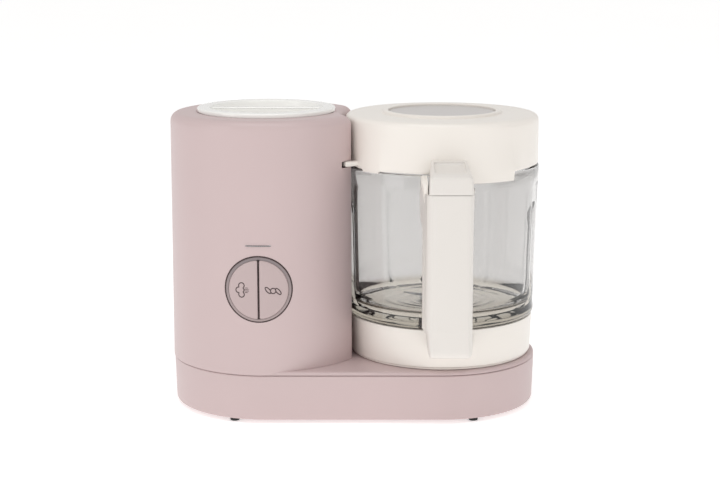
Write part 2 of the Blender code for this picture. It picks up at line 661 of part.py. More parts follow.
def thumb_lug():
    """The lever over the handle's top, tapered like the handle and cut to the lid's and glass's curves."""
    low = HANDLE_TOP + 0.4
    side_view = [(HANDLE_ROOT, 201.5), (-76, 200), (-103, 192.5), *arc(-104.5, 188.5, 3.5, 70, 180, 3),
                 (HANDLE_FRONT, low), (HANDLE_ROOT, low)]
    lever = flat_shape("thumb_lug", None, side_view, HANDLE_W, (HANDLE_X, AXIS_Y, 0), "X")
    taper(lever)
    boolean(lever, block("lever_side", None, (HANDLE_X - 30, AXIS_Y - 85, 190), (30.6, 80, 60)))
    clear = GLASS_R_TOP + 0.6
    boolean(lever, turned("thumb_seat", None, JUG, [
        (0, 230), (73.2, 230), (73.2, LID_EDGE + 0.1), (clear, LID_EDGE + 0.1), (clear, 150),
        (0, 150)], FINE))
    return lever


def lid():
    """The lid with its lugs, locking tab and thumb lug, its seal, and the filler plug."""
    shell = turned("lid_shell", "cream_plastic", JUG, [
        (THROAT_R, 226.2), (THROAT_R + 0.8, 227.0), (THROAT_R + 2.4, 227.0), (THROAT_R + 3.3, 225.8),
        *arc(LID_R - LID_FILLET, LID_TOP - LID_FILLET, LID_FILLET, 90, 0, 5),
        (LID_R, LID_EDGE), (GLASS_NECK_R + 1.0, LID_EDGE), (GLASS_NECK_R + 1.0, 217.0),
        (LID_R - LID_FILLET - 1, 223.3), (THROAT_R + 2.2, 223.3), (THROAT_R + 2.2, 208.0),
        (THROAT_R, 208.0)], FINE, ring=True)
    for name, start, end, low in (LUG_LEFT, LUG_RIGHT):
        piece = lug(name, start, end, low)
        boolean(shell, piece, "UNION")
        root = (arc(0, 0, LID_R - 1.3, start + 0.7, end - 0.7, 5)
                + arc(0, 0, GLASS_R_TOP + 1.4, end - 0.7, start + 0.7, 5))
        boolean(shell, flat_shape(name + "_root", None, root, 3.1, (*JUG, LID_EDGE + 2.2)), "UNION")
    angle = math.radians(TAB_ANGLE)
    tab = (JUG_X + 79.6 * math.cos(angle), AXIS_Y + 79.6 * math.sin(angle), 190.7)
    boolean(shell, block("lid_tab", None, tab, (13.2, 7, 3.6), 0.6, TAB_ANGLE), "UNION")
    boolean(shell, thumb_lug(), "UNION")
    inlet = (JUG_X - LID_R, AXIS_Y, NOZZLE_Z)
    boolean(shell, rod("steam_inlet", None, inlet, 4.5, 12, "X"))
    washer("lid_seal", "silicone", JUG, 64.5, GLASS_NECK_R, 197.3, 199.8, FINE)
    turned("filler_plug", "grey_plastic", JUG, [
        (0, 225.8), (PLUG_R - 0.8, 225.8), (PLUG_R, 225.0), (PLUG_R, 221.8), (PLUG_NECK_R, 221.8),
        (PLUG_NECK_R, 206), (PLUG_NECK_R - 2.5, 206), (PLUG_NECK_R - 2.5, 222.0), (0, 222.0)], FINE)
    washer("plug_seal", "silicone", JUG, PLUG_NECK_R + GAP, THROAT_R - 0.6, 212, 215, FINE)


def interlock():
    """The safety switch that the lid's tab presses when the jug is turned home."""
    block("interlock_switch", "dark_plastic", (TOWER_X + 39.5, AXIS_Y - 45, 190), (8, 10, 10), 0.5)
    rod("interlock_plunger", "dark_plastic", (TOWER_X + 49.6, AXIS_Y - 42.5, 190.3), 1.4, 11.6, "X",
        steps=16, bevel=0.3)


def settle():
    """Moves every piece and cutter together, so that the feet stand on z = 0."""
    for piece in [*PARTS.objects, *CUTTERS.objects]:
        piece.location.z -= FOOT_LOW * MM


base()
tower()
cable_gland()
panel()
steam_unit()
heater()
cap()
drive()
jug()
blades()
lid()
interlock()
settle()
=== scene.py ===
"""Looks of the baby food maker: fine shells, glass, panel, materials, light and camera.

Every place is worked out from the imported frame. Helpers take millimetres in the frame's axes: +X from the
tower to the jug, +Y to the rear, +Z up.
"""

import json
import math

import bmesh
import bpy
from mathutils import Matrix, Vector


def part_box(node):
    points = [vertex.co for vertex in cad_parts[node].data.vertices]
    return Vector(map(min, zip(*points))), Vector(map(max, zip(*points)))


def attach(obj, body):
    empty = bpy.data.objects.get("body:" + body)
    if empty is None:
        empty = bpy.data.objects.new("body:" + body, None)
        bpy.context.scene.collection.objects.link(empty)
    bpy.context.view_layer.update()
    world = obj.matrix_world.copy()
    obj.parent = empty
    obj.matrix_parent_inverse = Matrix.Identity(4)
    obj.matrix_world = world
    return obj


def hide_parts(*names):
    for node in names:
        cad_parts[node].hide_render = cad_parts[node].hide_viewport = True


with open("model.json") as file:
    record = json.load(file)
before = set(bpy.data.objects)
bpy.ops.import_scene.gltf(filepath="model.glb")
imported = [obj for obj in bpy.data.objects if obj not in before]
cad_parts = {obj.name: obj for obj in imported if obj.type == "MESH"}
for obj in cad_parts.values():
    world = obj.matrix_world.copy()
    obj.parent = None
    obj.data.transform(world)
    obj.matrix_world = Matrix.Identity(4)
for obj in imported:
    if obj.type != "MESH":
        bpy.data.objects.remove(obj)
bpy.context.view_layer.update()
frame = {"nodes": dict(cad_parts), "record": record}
MM = 0.001
RAISED = 2.2  # how far the feet lift the drawing's own level off the floor


def drawn(corner):
    """A corner in millimetres, with its height in the drawing's own level, 2.2 mm under the frame's."""
    x, y, z = [value / MM for value in corner]
    return [x, y, z - RAISED]


def low(node):
    """The lowest corner of a CAD node."""
    return drawn(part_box(node)[0])


def high(node):
    """The highest corner of a CAD node."""
    return drawn(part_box(node)[1])


def heights(node):
    """The lowest and highest level of a CAD node."""
    return low(node)[2], high(node)[2]


def centre(node):
    """The middle of a CAD node's box."""
    return [(a + b) / 2 for a, b in zip(low(node), high(node))]


# Places and sizes in millimetres: from the frame where it holds them, and otherwise chosen here
TOWER = centre("cap_shell")[:2]
JUG = centre("glass_bowl")[:2]
AXIS_Y = JUG[1]
REACH = JUG[0] - TOWER[0]
TUB_BOTTOM, SEAM = heights("base_tub")
DECK_BOTTOM = SEAM + 0.3
DECK_TOP = high("deck")[2]
BASE_R = (high("base_tub")[1] - low("base_tub")[1]) / 2
BASE_R_LOW = BASE_R - 1.0
SCREW_WELL_R = 3.6
DRIVE_HOLE_R = 8.9
SHAFT_HOLE_R = 7.5
END_X = high("base_tub")[0] - BASE_R
TOWER_TOP = high("tower_shell")[2]
TOWER_R_LOW = TOWER[0] - low("tower_shell")[0]
TOWER_R_HIGH = TOWER_R_LOW - 1.0
TOWER_FILLET = 7.0
TOWER_FLARE_RISE = 22.0
CRADLE_R = 77.0
CRADLE_ARRIS = 2.4
CAP_R = high("cap_shell")[0] - TOWER[0]
CAP_RIM = high("cap_shell")[2]
PANEL_X = centre("bezel")[0] - 0.55
PANEL_Z = centre("bezel")[2] + 0.3
BUTTON_DROP = 0.3
BUTTON_GAP = 0.62
# The panel's faces, as radii about the tower's axis
PANEL_FACE = 74.35
BUTTON_FACE = PANEL_FACE + 0.5
DIVIDER_FACE = PANEL_FACE + 0.4
LINE_FACE = PANEL_FACE + 0.2
ICON_FACE = BUTTON_FACE - 0.19
WELL_FACE = 67.4
BEZEL_R = (high("bezel")[0] - low("bezel")[0]) / 2
BUTTON_R = (high("button_left")[2] - low("button_left")[2]) / 2
RING_LOW, RING_TOP = heights("bowl_ring")
GLASS_LOW, GLASS_TOP = heights("glass_bowl")
GLASS_RIM = 186.4
GLASS_R = high("glass_bowl")[0] - JUG[0]
GLASS_R_LOW = GLASS_R - 2.9
GLASS_WALL = 3.5
GLASS_NECK = 71.0
GLASS_FLOOR = 74.9
GLASS_HOLE_R = 12.5
# The bowl's mixing ribs, with angles in degrees
RIB_COUNT = 5
RIB_FIRST = 53
RIB_STEP = 360 // RIB_COUNT
RIB_TOP = 157
RIB_DEPTH = 4.0
RIB_SPREAD = 2.1
BLADE_REACH = 31.5
BLADE_HALF = 7.2
FOOT_LOW = low("bowl_foot")[2]
RING_R = 72.0
RING_R_LOW = RING_R - 1.1
LID_R = 74.6
LID_EDGE = 187.6
LID_FACE = 225.5
LID_BORE = 41.5
LID_IN = 72.3
# The lid's tab and its notch in the tower, with angles in degrees about the jug's axis
TAB_ANGLE = 209
TAB_R = 79.0
TAB_Z = 190.7
NOTCH_ANGLE = TAB_ANGLE + 3
NOTCH_R = TAB_R + 3.0
NOTCH_Z = TAB_Z - 0.35
PLUG_R = high("filler_plug")[0] - JUG[0]
HANDLE_FRONT = low("handle")[1]
HANDLE_BOTTOM = low("handle")[2] - 1.2
LUG_BOTTOM = 178.1
HANDLE_TOP = 177.7
HANDLE_X = 68.7
HANDLE_HALF = 21.5
HANDLE_ROOT = AXIS_Y - 60.0
HANDLE_GAP_LOW = 69.3
HANDLE_GAP_TOP = 158
# How far the handle and the lug reach left and right of the handle's middle
BACK_LEFT = 19.9
SHOULDER_LEFT = 20.7
SHOULDER_SHARE = 0.71
FACE_LEFT = 14.2
FACE_RIGHT = 17.1
CHEEK_HALF = HANDLE_HALF - 0.45
LUG_LEFT_SIDE = 15.0
LUG_TOP_LEFT = 12.4
LUG_TOP_RIGHT = 14.2


# Outlines and skins

def eased(corners, steps=5, closed=False):
    """An outline through corners (u, v, radius), each corner rounded to about its radius."""
    points = []
    count = len(corners)
    for i, (u, v, radius) in enumerate(corners):
        if radius <= 0 or (not closed and i in (0, count - 1)):
            points.append((u, v))
            continue
        here = Vector((u, v))
        before = Vector(corners[i - 1][:2]) - here
        after = Vector(corners[(i + 1) % count][:2]) - here
        half = before.angle(after) / 2
        reach = min(radius / max(math.tan(half), 0.05), before.length * 0.49, after.length * 0.49)
        start = here + before.normalized() * reach
        end = here + after.normalized() * reach
        for k in range(steps + 1):
            t = k / steps
            spot = start * (1 - t) ** 2 + here * 2 * t * (1 - t) + end * t ** 2
            points.append((spot.x, spot.y))
    return points


def meshed(name, shape):
    """The mesh of a worked shape, which is used up."""
    mesh = bpy.data.meshes.new(name)
    shape.to_mesh(mesh)
    shape.free()
    return mesh


def skin(name, rings, loop=False):
    """A mesh through rings of equal length: a loop joins last to first, otherwise the ends are capped."""
    shape = bmesh.new()
    loops = [[shape.verts.new([value * MM for value in point]) for point in ring] for ring in rings]
    pairs = list(zip(loops, loops[1:]))
    if loop:
        pairs.append((loops[-1], loops[0]))
    for one, other in pairs:
        for i in range(len(one)):
            j = (i + 1) % len(one)
            shape.faces.new((one[i], one[j], other[j], other[i]))
    if not loop:
        shape.faces.new(list(reversed(loops[0])))
        shape.faces.new(loops[-1])
    bmesh.ops.remove_doubles(shape, verts=shape.verts, dist=0.000004)
    bmesh.ops.recalc_face_normals(shape, faces=shape.faces)
    return meshed(name, shape)


def even_angles(count):
    """Angles spaced evenly round a full turn, in radians."""
    return [math.tau * i / count for i in range(count)]


def polar(name, axis, angles, profile, loop=False):
    """A skin round an upright axis whose profile(angle) gives (radius, height) pairs."""
    columns = [profile(angle) for angle in angles]
    rings = []
    for k in range(len(columns[0])):
        rings.append([(axis[0] + column[k][0] * math.cos(a), axis[1] + column[k][0] * math.sin(a),
                       column[k][1]) for a, column in zip(angles, columns)])
    return skin(name, rings, loop)


def lathe(name, axis, corners, steps=128, loop=False, easing=5):
    """A turned skin with rounded corners. Without loop, the profile starts and ends on the axis."""
    outline = eased(corners, easing, loop)
    outline = [(max(r, 0.002), z) for r, z in outline]
    return polar(name, axis, even_angles(steps), lambda _: outline, loop)


def stadium(radius, z, count=48):
    """The base's plan at a height: two half circles about the tower's and the jug's ends."""
    points = []
    for side, start in ((1, -90), (-1, 90)):
        for i in range(count + 1):
            a = math.radians(start + 180 * i / count)
            points.append((side * END_X + radius * math.cos(a), AXIS_Y + radius * math.sin(a), z))
    return points


def inset_outline(outline, inset):
    """The outline drawn in by a distance, corner by corner. It runs anticlockwise."""
    count = len(outline)
    points = []
    for i in range(count):
        before = Vector(outline[i]) - Vector(outline[i - 1])
        after = Vector(outline[(i + 1) % count]) - Vector(outline[i])
        side_a = Vector((-before.y, before.x)).normalized()
        side_b = Vector((-after.y, after.x)).normalized()
        middle = (side_a + side_b).normalized()
        reach = inset / max(middle.dot(side_a), 0.45)
        points.append((outline[i][0] + middle.x * reach, outline[i][1] + middle.y * reach))
    return points


def pillow(name, outline, half, radius, steps=7):
    """A side view in YZ given a width of twice half about x = 0, with its rim rounded to a radius."""
    area = sum(p[0] * q[1] - q[0] * p[1] for p, q in zip(outline, outline[1:] + outline[:1]))
    if area < 0:
        outline = list(reversed(outline))
    stations = []
    for k in range(steps + 1):
        turn = math.radians(90 * k / steps)
        stations.append((-half + radius * (1 - math.sin(turn)), radius * (1 - math.cos(turn))))
    stations = list(reversed(stations))
    stations += [(-x, inset) for x, inset in reversed(stations)]
    rings = []
    for x, inset in stations:
        rings.append([(x, y, z) for y, z in inset_outline(outline, inset)])
    return skin(name, rings)


def mix(first, second, share):
    """The value at a share of the way from the first to the second."""
    return first + (second - first) * share


def handle_widths(share, z):
    """How far the handle reaches left and right of its middle, at a share of the way to its front."""
    left = mix(BACK_LEFT, SHOULDER_LEFT, min(share / SHOULDER_SHARE, 1.0))
    left = mix(left, FACE_LEFT, max(share - SHOULDER_SHARE, 0.0) / (1 - SHOULDER_SHARE))
    narrow = min(max((RING_TOP + 9 - z) / 9, 0.0), 1.0)
    left = mix(left, min(left, FACE_LEFT), narrow)
    return left, mix(HANDLE_HALF, FACE_RIGHT, share)


def tapered(mesh, centre_x, drafted=False):
    """A piece drawn HANDLE_HALF to each side of x = 0, fitted to the handle's widths and moved into place."""
    for vertex in mesh.vertices:
        share = (HANDLE_ROOT - vertex.co.y / MM) / (HANDLE_ROOT - HANDLE_FRONT)
        left, right = handle_widths(min(max(share, 0.0), 1.0), vertex.co.z / MM)
        if drafted:
            rise = min(max((vertex.co.z / MM - LID_EDGE) / 8, 0.0), 1.0)
            left = mix(min(left, LUG_LEFT_SIDE), LUG_TOP_LEFT, rise)
            right = mix(right, LUG_TOP_RIGHT, rise)
        reach = left if vertex.co.x < 0 else right
        vertex.co.x = vertex.co.x * reach / HANDLE_HALF + centre_x * MM
    return mesh


def rounded_block(name, size, radius, segments=3):
    """A box about the origin with every edge rounded."""
    shape = bmesh.new()
    bmesh.ops.create_cube(shape, size=MM)
    bmesh.ops.scale(shape, vec=size, verts=shape.verts)
    bmesh.ops.bevel(shape, geom=list(shape.edges), offset=radius * MM, segments=segments, profile=0.5,
                    affect="EDGES", clamp_overlap=True)
    return meshed(name, shape)


def placed(mesh, place, turn=0.0, tilt=0.0):
    """The mesh moved to a place after a turn about Z and a tilt about X, in degrees."""
    move = Matrix.Translation([value * MM for value in place])
    mesh.transform(move @ Matrix.Rotation(math.radians(turn), 4, "Z")
                   @ Matrix.Rotation(math.radians(tilt), 4, "X"))
    return mesh


def round_jug(mesh, radius, angle, z):
    """The mesh moved out to a radius at an angle in degrees about the jug's axis, and turned to face it."""
    a = math.radians(angle)
    return placed(mesh, (JUG[0] + radius * math.cos(a), AXIS_Y + radius * math.sin(a), z), angle)


def added(name, data):
    """A new object in the scene."""
    thing = bpy.data.objects.new(name, data)
    bpy.context.scene.collection.objects.link(thing)
    return thing


def carved(mesh, *cutters):
    """The mesh cut by each cutter in turn. The cutters are used up."""
    for cutter in cutters:
        mesh = cut_once(mesh, cutter)
    return mesh


def cut_once(mesh, other):
    first = added("first", mesh)
    second = added("second", other)
    change = first.modifiers.new("Join", "BOOLEAN")
    change.operation = "DIFFERENCE"
    change.solver = "EXACT"
    change.object = second
    graph = bpy.context.evaluated_depsgraph_get()
    result = bpy.data.meshes.new_from_object(first.evaluated_get(graph))
    bpy.data.objects.remove(first, do_unlink=True)
    bpy.data.objects.remove(second, do_unlink=True)
    bpy.data.meshes.remove(other)
    return result


def drum(radius, length, place, upright="Z", steps=96):
    """A plain round bar, used to cut holes."""
    shape = bmesh.new()
    bmesh.ops.create_cone(shape, cap_ends=True, segments=steps, radius1=radius * MM,
                          radius2=radius * MM, depth=length * MM)
    lay = {"X": Matrix.Rotation(math.pi / 2, 4, "Y"), "Y": Matrix.Rotation(math.pi / 2, 4, "X")}
    bmesh.ops.transform(shape, matrix=lay.get(upright, Matrix.Identity(4)), verts=shape.verts)
    return placed(meshed("drum", shape), place)


def show(mesh, body, look, replaces=(), name=None, angle=32):
    """Puts a mesh in the scene as a piece of a body, standing for CAD nodes."""
    piece = added(name or mesh.name, mesh)
    mesh.transform(Matrix.Translation((0, 0, RAISED * MM)))
    mesh.shade_smooth()
    mesh.set_sharp_from_angle(angle=math.radians(angle))
    mesh.materials.clear()
    mesh.materials.append(look)
    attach(piece, body)
    if replaces:
        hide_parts(*replaces)
    return piece


# Materials

def nodes_of(name):
    """A new material, its node tree and its shader."""
    look = bpy.data.materials.new(name)
    look.use_nodes = True
    return look, look.node_tree, look.node_tree.nodes["Principled BSDF"]


def tune(node, settings):
    """Sets a node's inputs by name."""
    for name, value in settings.items():
        node.inputs[name].default_value = value


def noise(tree, scale, detail, vector=None):
    """Cloudy noise over the object's own coordinates, or over another vector."""
    if vector is None:
        vector = tree.nodes.new("ShaderNodeTexCoord").outputs["Object"]
    node = tree.nodes.new("ShaderNodeTexNoise")
    tune(node, {"Scale": scale, "Detail": detail})
    tree.links.new(vector, node.inputs["Vector"])
    return node.outputs["Fac"]


def axis_place(tree, axis, space="Object"):
    """A point's place along one axis."""
    place = tree.nodes.new("ShaderNodeTexCoord")
    split = tree.nodes.new("ShaderNodeSeparateXYZ")
    tree.links.new(place.outputs[space], split.inputs["Vector"])
    return split.outputs[axis]


def ramp(tree, value, start, end, first=0.0, last=1.0):
    """A value that runs from first to last while another runs from start to end."""
    node = tree.nodes.new("ShaderNodeMapRange")
    tune(node, {"From Min": start, "From Max": end, "To Min": first, "To Max": last})
    tree.links.new(value, node.inputs["Value"])
    return node.outputs["Result"]


def blend_colours(tree, share, first, second):
    """A colour between two. Each is three numbers or a node's output."""
    node = tree.nodes.new("ShaderNodeMix")
    node.data_type = "RGBA"
    for letter, colour in (("A", first), ("B", second)):
        if isinstance(colour, bpy.types.NodeSocket):
            tree.links.new(colour, node.inputs[letter])
        else:
            node.inputs[letter].default_value = (*colour, 1)
    tree.links.new(share, node.inputs["Factor"])
    return node.outputs["Result"]


def roughened(tree, height, strength, distance):
    """Bends the shader's normal by a height."""
    node = tree.nodes.new("ShaderNodeBump")
    tune(node, {"Strength": strength, "Distance": distance})
    tree.links.new(height, node.inputs["Height"])
    tree.links.new(node.outputs["Normal"], tree.nodes["Principled BSDF"].inputs["Normal"])


def moulded(name, colour, roughness, grain=900.0, depth=0.02, mottle=0.012, coat=0.0):
    """Moulded plastic: a fine spark-eroded grain, slight cloudiness in colour and in gloss."""
    look, tree, shader = nodes_of(name)
    fine = noise(tree, grain, 3.0)
    broad = noise(tree, 22.0, 4.0)
    dull = [c * (1 - mottle) for c in colour]
    bright = [min(1, c * (1 + mottle)) for c in colour]
    gloss = ramp(tree, fine, 0.0, 1.0, roughness - 0.05, roughness + 0.05)
    tree.links.new(blend_colours(tree, broad, dull, bright), shader.inputs["Base Color"])
    tree.links.new(gloss, shader.inputs["Roughness"])
    roughened(tree, fine, depth * 10, 0.00005)
    tune(shader, {"Coat Weight": coat, "Coat Roughness": 0.12})
    return look


def painted_shade_chamfer_look():
    """The panel's chamfer: a darker copy of the tower's plastic, with painted shade that deepens towards its
    upper side, where it looks down.
    """
    look = moulded("pink_chamfer_painted_shade", (0.5, 0.4, 0.4), 0.42)
    tree = look.node_tree
    height = ramp(tree, axis_place(tree, "Z", "Generated"), 0.1, 0.95)
    # Painted shade: the colour runs from a lighter pink at the chamfer's foot to a darker one at its top.
    shade = blend_colours(tree, height, (0.40, 0.32, 0.315), (0.24, 0.20, 0.205))
    tree.links.new(shade, tree.nodes["Principled BSDF"].inputs["Base Color"])
    return look


def painted_glow_cream():
    """Cream plastic that glows a little: painted light, standing for the light that thick glass gathers in
    its floor.
    """
    look = moulded("bowl_floor_painted_glow", (0.90, 0.85, 0.78), 0.4, depth=0.008, mottle=0.03)
    shader = look.node_tree.nodes["Principled BSDF"]
    tune(shader, {"Emission Color": (1.0, 0.94, 0.86, 1), "Emission Strength": 0.5})
    return look


def metal(name, colour, roughness, brushed=(1.0, 1.0, 1.0), scale=700.0, strength=0.25):
    """Metal with fine marks stretched along one direction."""
    look, tree, shader = nodes_of(name)
    place = tree.nodes.new("ShaderNodeTexCoord")
    stretch = tree.nodes.new("ShaderNodeMapping")
    tune(stretch, {"Scale": brushed})
    tree.links.new(place.outputs["Object"], stretch.inputs["Vector"])
    marks = noise(tree, scale, 5.0, stretch.outputs["Vector"])
    gloss = ramp(tree, marks, 0.0, 1.0, max(roughness - 0.06, 0.02), roughness + 0.08)
    tree.links.new(gloss, shader.inputs["Roughness"])
    roughened(tree, marks, strength, 0.00004)
    tune(shader, {"Base Color": (*colour, 1), "Metallic": 1.0})
    return look


def radius_in_jug(tree):
    """A point's distance from the jug's axis: its place from there, flattened, and the length of that."""
    vector = tree.nodes.new("ShaderNodeTexCoord").outputs["Object"]
    for operation, other in (("SUBTRACT", (JUG[0] * MM, JUG[1] * MM, 0)), ("MULTIPLY", (1, 1, 0))):
        node = tree.nodes.new("ShaderNodeVectorMath")
        node.operation = operation
        node.inputs[1].default_value = other
        tree.links.new(vector, node.inputs[0])
        vector = node.outputs["Vector"]
    reach = tree.nodes.new("ShaderNodeVectorMath")
    reach.operation = "LENGTH"
    tree.links.new(vector, reach.inputs[0])
    return reach.outputs["Value"]


def clear_glass():
    """Thick pressed glass with slow waves: grey through the wall, clear in the floor, dark at its foot."""
    look, tree, shader = nodes_of("pressed_glass")
    roughened(tree, noise(tree, 26.0, 1.0), 0.22, 0.0012)
    rim = ramp(tree, radius_in_jug(tree), 62 * MM, 68 * MM)
    height = ramp(tree, axis_place(tree, "Z"), (76 + RAISED) * MM, (82 + RAISED) * MM)
    low_tint = blend_colours(tree, rim, (0.97, 0.965, 0.94), (0.55, 0.50, 0.42))
    tint = blend_colours(tree, height, low_tint, (0.73, 0.722, 0.715))
    tree.links.new(tint, shader.inputs["Base Color"])
    tune(shader, {"Roughness": 0.0, "IOR": 1.5, "Transmission Weight": 1.0})
    return look


PINK = moulded("pink_soft_plastic", (0.60, 0.475, 0.472), 0.4)
PINK_BUTTON = moulded("pink_button_plastic", (0.52, 0.413, 0.408), 0.42)
# The chamfer's darker pink is painted shade.
PINK_PAINTED_SHADE = painted_shade_chamfer_look()
CREAM = moulded("cream_plastic", (0.875, 0.83, 0.775), 0.3, depth=0.008, mottle=0.008)
# The handle's cream is darker than the lid's: painted shade, with a slightly cooler tone of its own.
SHADED_HANDLE_CREAM = moulded("handle_cream_painted_shade", (0.765, 0.73, 0.69), 0.3, depth=0.008, mottle=0.008)
CAP_WHITE = moulded("cap_white_plastic", (0.97, 0.962, 0.93), 0.2, grain=300.0, depth=0.0008, mottle=0.002,
                     coat=1.0)
FLOOR_PAINTED_GLOW = painted_glow_cream()
GREY = moulded("grey_centre_plastic", (0.58, 0.55, 0.535), 0.3, depth=0.004, mottle=0.004)
DARK = moulded("dark_plastic", (0.035, 0.033, 0.035), 0.35, depth=0.02)
INK = moulded("panel_ink", (0.05, 0.028, 0.028), 0.5, depth=0.01)
RUBBER = moulded("rubber", (0.03, 0.03, 0.03), 0.75, grain=500.0, depth=0.05, mottle=0.05)
SILICONE = moulded("silicone", (0.72, 0.70, 0.67), 0.55, grain=400.0, depth=0.02)
BOARD = moulded("circuit_board", (0.03, 0.16, 0.07), 0.45, grain=250.0, depth=0.05, mottle=0.15)
STEEL = metal("brushed_steel", (0.62, 0.62, 0.63), 0.28, (1, 1, 14))
# The blades' steel is painted dark: painted shade, so that inside the jug they reflect little of the bright
# room.
SHADED_BLADE_STEEL = metal("blade_steel_painted_shade", (0.10, 0.10, 0.115), 0.2, (12, 1, 1))
GUNMETAL = metal("bezel_gunmetal", (0.075, 0.055, 0.055), 0.22, (1, 1, 1), 300.0, 0.05)
LINE_STEEL = metal("line_steel", (0.26, 0.25, 0.25), 0.2, (1, 1, 1), 300.0, 0.05)
ALUMINIUM = metal("cast_aluminium", (0.70, 0.71, 0.72), 0.45, (1, 1, 1), 350.0, 0.5)
BRASS = metal("brass", (0.66, 0.47, 0.20), 0.3, (1, 1, 10))
GLASS = clear_glass()
CAD_LOOKS = {
    "pink_plastic": PINK, "cream_plastic": CREAM, "grey_plastic": GREY, "dark_plastic": DARK,
    "glass": GLASS, "rubber": RUBBER, "silicone": SILICONE, "steel": STEEL, "dark_chrome": GUNMETAL,
    "aluminium": ALUMINIUM, "brass": BRASS, "circuit_board": BOARD,
}


def dress_cad_nodes():
    """Every CAD node takes the finish of its slot, whether it stays shown or not."""
    slots = {entry["node"]: entry["material_slot"] for entry in frame["record"]["subparts"]}
    for node, thing in frame["nodes"].items():
        thing.data.materials.clear()
        thing.data.materials.append(CAD_LOOKS[slots[node]])


# Base and tower

def base():
    tub()
    deck()
    for end in ("front", "rear"):
        for side in ("left", "right"):
            foot(f"foot_{end}_{side}")


def tub():
    """The lower half of the base, with a well under each screw."""
    foot_edge = [(-1.6, 0), (-0.6, 0.25), (0, 1.2), (0.05, 2.0)]
    seam_edge = [(-0.05, -1.4), (-0.15, -0.6), (-0.6, -0.1), (-1.2, 0), (-2.5, 0)]
    mesh = skin("tub", [
        *[stadium(BASE_R_LOW + out, TUB_BOTTOM + up) for out, up in foot_edge],
        *[stadium(BASE_R + out, SEAM + up) for out, up in seam_edge],
        stadium(BASE_R_LOW - 2.5, TUB_BOTTOM + 3)])
    screws = [centre(f"base_screw_{number}")[:2] for number in range(1, 5)]
    wells = [drum(SCREW_WELL_R, 8, (*spot, TUB_BOTTOM + 2), steps=32) for spot in screws]
    show(carved(mesh, *wells), "base", PINK, ["base_tub"])


def deck():
    """The plate on the base, rounded over at its edge, with holes for the drive and the motor's shaft."""
    shoulder = [math.radians(15 * k) for k in range(7)]
    mesh = skin("deck_plate", [
        stadium(BASE_R - 1.2, DECK_BOTTOM),
        stadium(BASE_R - 0.5, DECK_BOTTOM + 0.1),
        *[stadium(BASE_R - 2.6 * (1 - math.cos(a)), DECK_TOP - 2.4 * (1 - math.sin(a))) for a in shoulder],
        stadium(BASE_R - 6, DECK_TOP)])
    mesh = carved(mesh, drum(DRIVE_HOLE_R, 20, (*JUG, DECK_TOP)),
                  drum(SHAFT_HOLE_R, 20, (*centre("motor_shaft")[:2], DECK_TOP)))
    show(mesh, "base", PINK, ["deck"])


def foot(node):
    """A round rubber pad with a hollow underside."""
    x, y, _ = centre(node)
    radius = (high(node)[0] - low(node)[0]) / 2
    floor = -RAISED
    pad = lathe(node + "_pad", (x, y), [
        (0, TUB_BOTTOM - 0.3, 0), (radius, TUB_BOTTOM - 0.3, 0.2), (radius, floor, 0.6),
        (radius - 1.5, floor, 0.3), (radius - 1.8, floor + 0.4, 0.2), (0, floor + 0.4, 0)], 48)
    show(pad, "base", RUBBER, [node])


def tower_radius(angle, radius, inset):
    """The tower's outline about its own axis: a circle, cut by the cradle, with a soft arris."""
    outer = radius - inset
    cradle = CRADLE_R + inset
    swing = cradle ** 2 - (REACH * math.sin(angle)) ** 2
    if math.cos(angle) <= 0 or swing <= 0:
        return outer
    near = REACH * math.cos(angle) - math.sqrt(swing)
    overlap = max(CRADLE_ARRIS - abs(outer - near), 0) / CRADLE_ARRIS
    return min(outer, near) - overlap ** 2 * CRADLE_ARRIS / 4


def tower_angles():
    """Angles round the tower, closer together where the wall turns into the cradle."""
    arris = [math.radians(side * (22 + 0.45 * k)) for side in (-1, 1) for k in range(24)]
    rest = [math.radians(a) for a in range(-178, 181, 2) if not 21 < abs(a) < 34]
    return sorted(arris + rest)


def skirt_share(angle):
    """1 where the tower's wall runs down over the deck's lip, at its left and front, and 0 elsewhere."""
    away = abs(math.degrees(angle))
    share = min(max((away - 70) / 22, 0.0), 1.0)
    return share * share * (3 - 2 * share)


def deck_radius(angle):
    """The deck's left end seen from the tower's axis."""
    offset = -END_X - TOWER[0]
    return offset * math.cos(angle) + math.sqrt(BASE_R ** 2 - (offset * math.sin(angle)) ** 2)


def tower_profile(angle):
    """The shell's outer wall, its rounded top, the step round the cap and its inner wall."""
    skirt = skirt_share(angle)
    wall_low = DECK_TOP + 0.06 - skirt * (DECK_TOP - DECK_BOTTOM - 0.1)
    flare = skirt * max(deck_radius(angle) + 0.12 - TOWER_R_LOW, 0.0)
    straight_low = wall_low + TOWER_FLARE_RISE
    straight_high = TOWER_TOP - TOWER_FILLET
    column = []

    def at(z, inset):
        share = (z - wall_low) / (TOWER_TOP - wall_low)
        rise = min((z - wall_low) / TOWER_FLARE_RISE, 1.0)
        radius = TOWER_R_LOW + (TOWER_R_HIGH - TOWER_R_LOW) * share + flare * (1 - rise) ** 2
        column.append((tower_radius(angle, radius, inset), z))

    at(wall_low, 2.5)
    at(wall_low, 0.1)
    at(wall_low + 0.1, 0)
    for k in range(1, 8):
        at(wall_low + 3 * k, 0)
    steps = 30
    for k in range(1, steps):
        at(straight_low + (straight_high - straight_low) * k / steps, 0)
    for k in range(9):
        turn = math.radians(90 * k / 8)
        at(TOWER_TOP - TOWER_FILLET * (1 - math.sin(turn)), TOWER_FILLET * (1 - math.cos(turn)))
    hole = high("tank")[0] - TOWER[0] + 0.5
    column.append((CAP_R + 0.9, TOWER_TOP))
    column.append((CAP_R + 0.5, TOWER_TOP - 0.25))
    column.append((CAP_R + 0.4, TOWER_TOP - 0.8))
    column.append((hole, TOWER_TOP - 0.8))
    column.append((hole, TOWER_TOP - 2.5))
    at(TOWER_TOP - 2.5, TOWER_FILLET)
    at(TOWER_TOP - 8, 2.5)
    return column


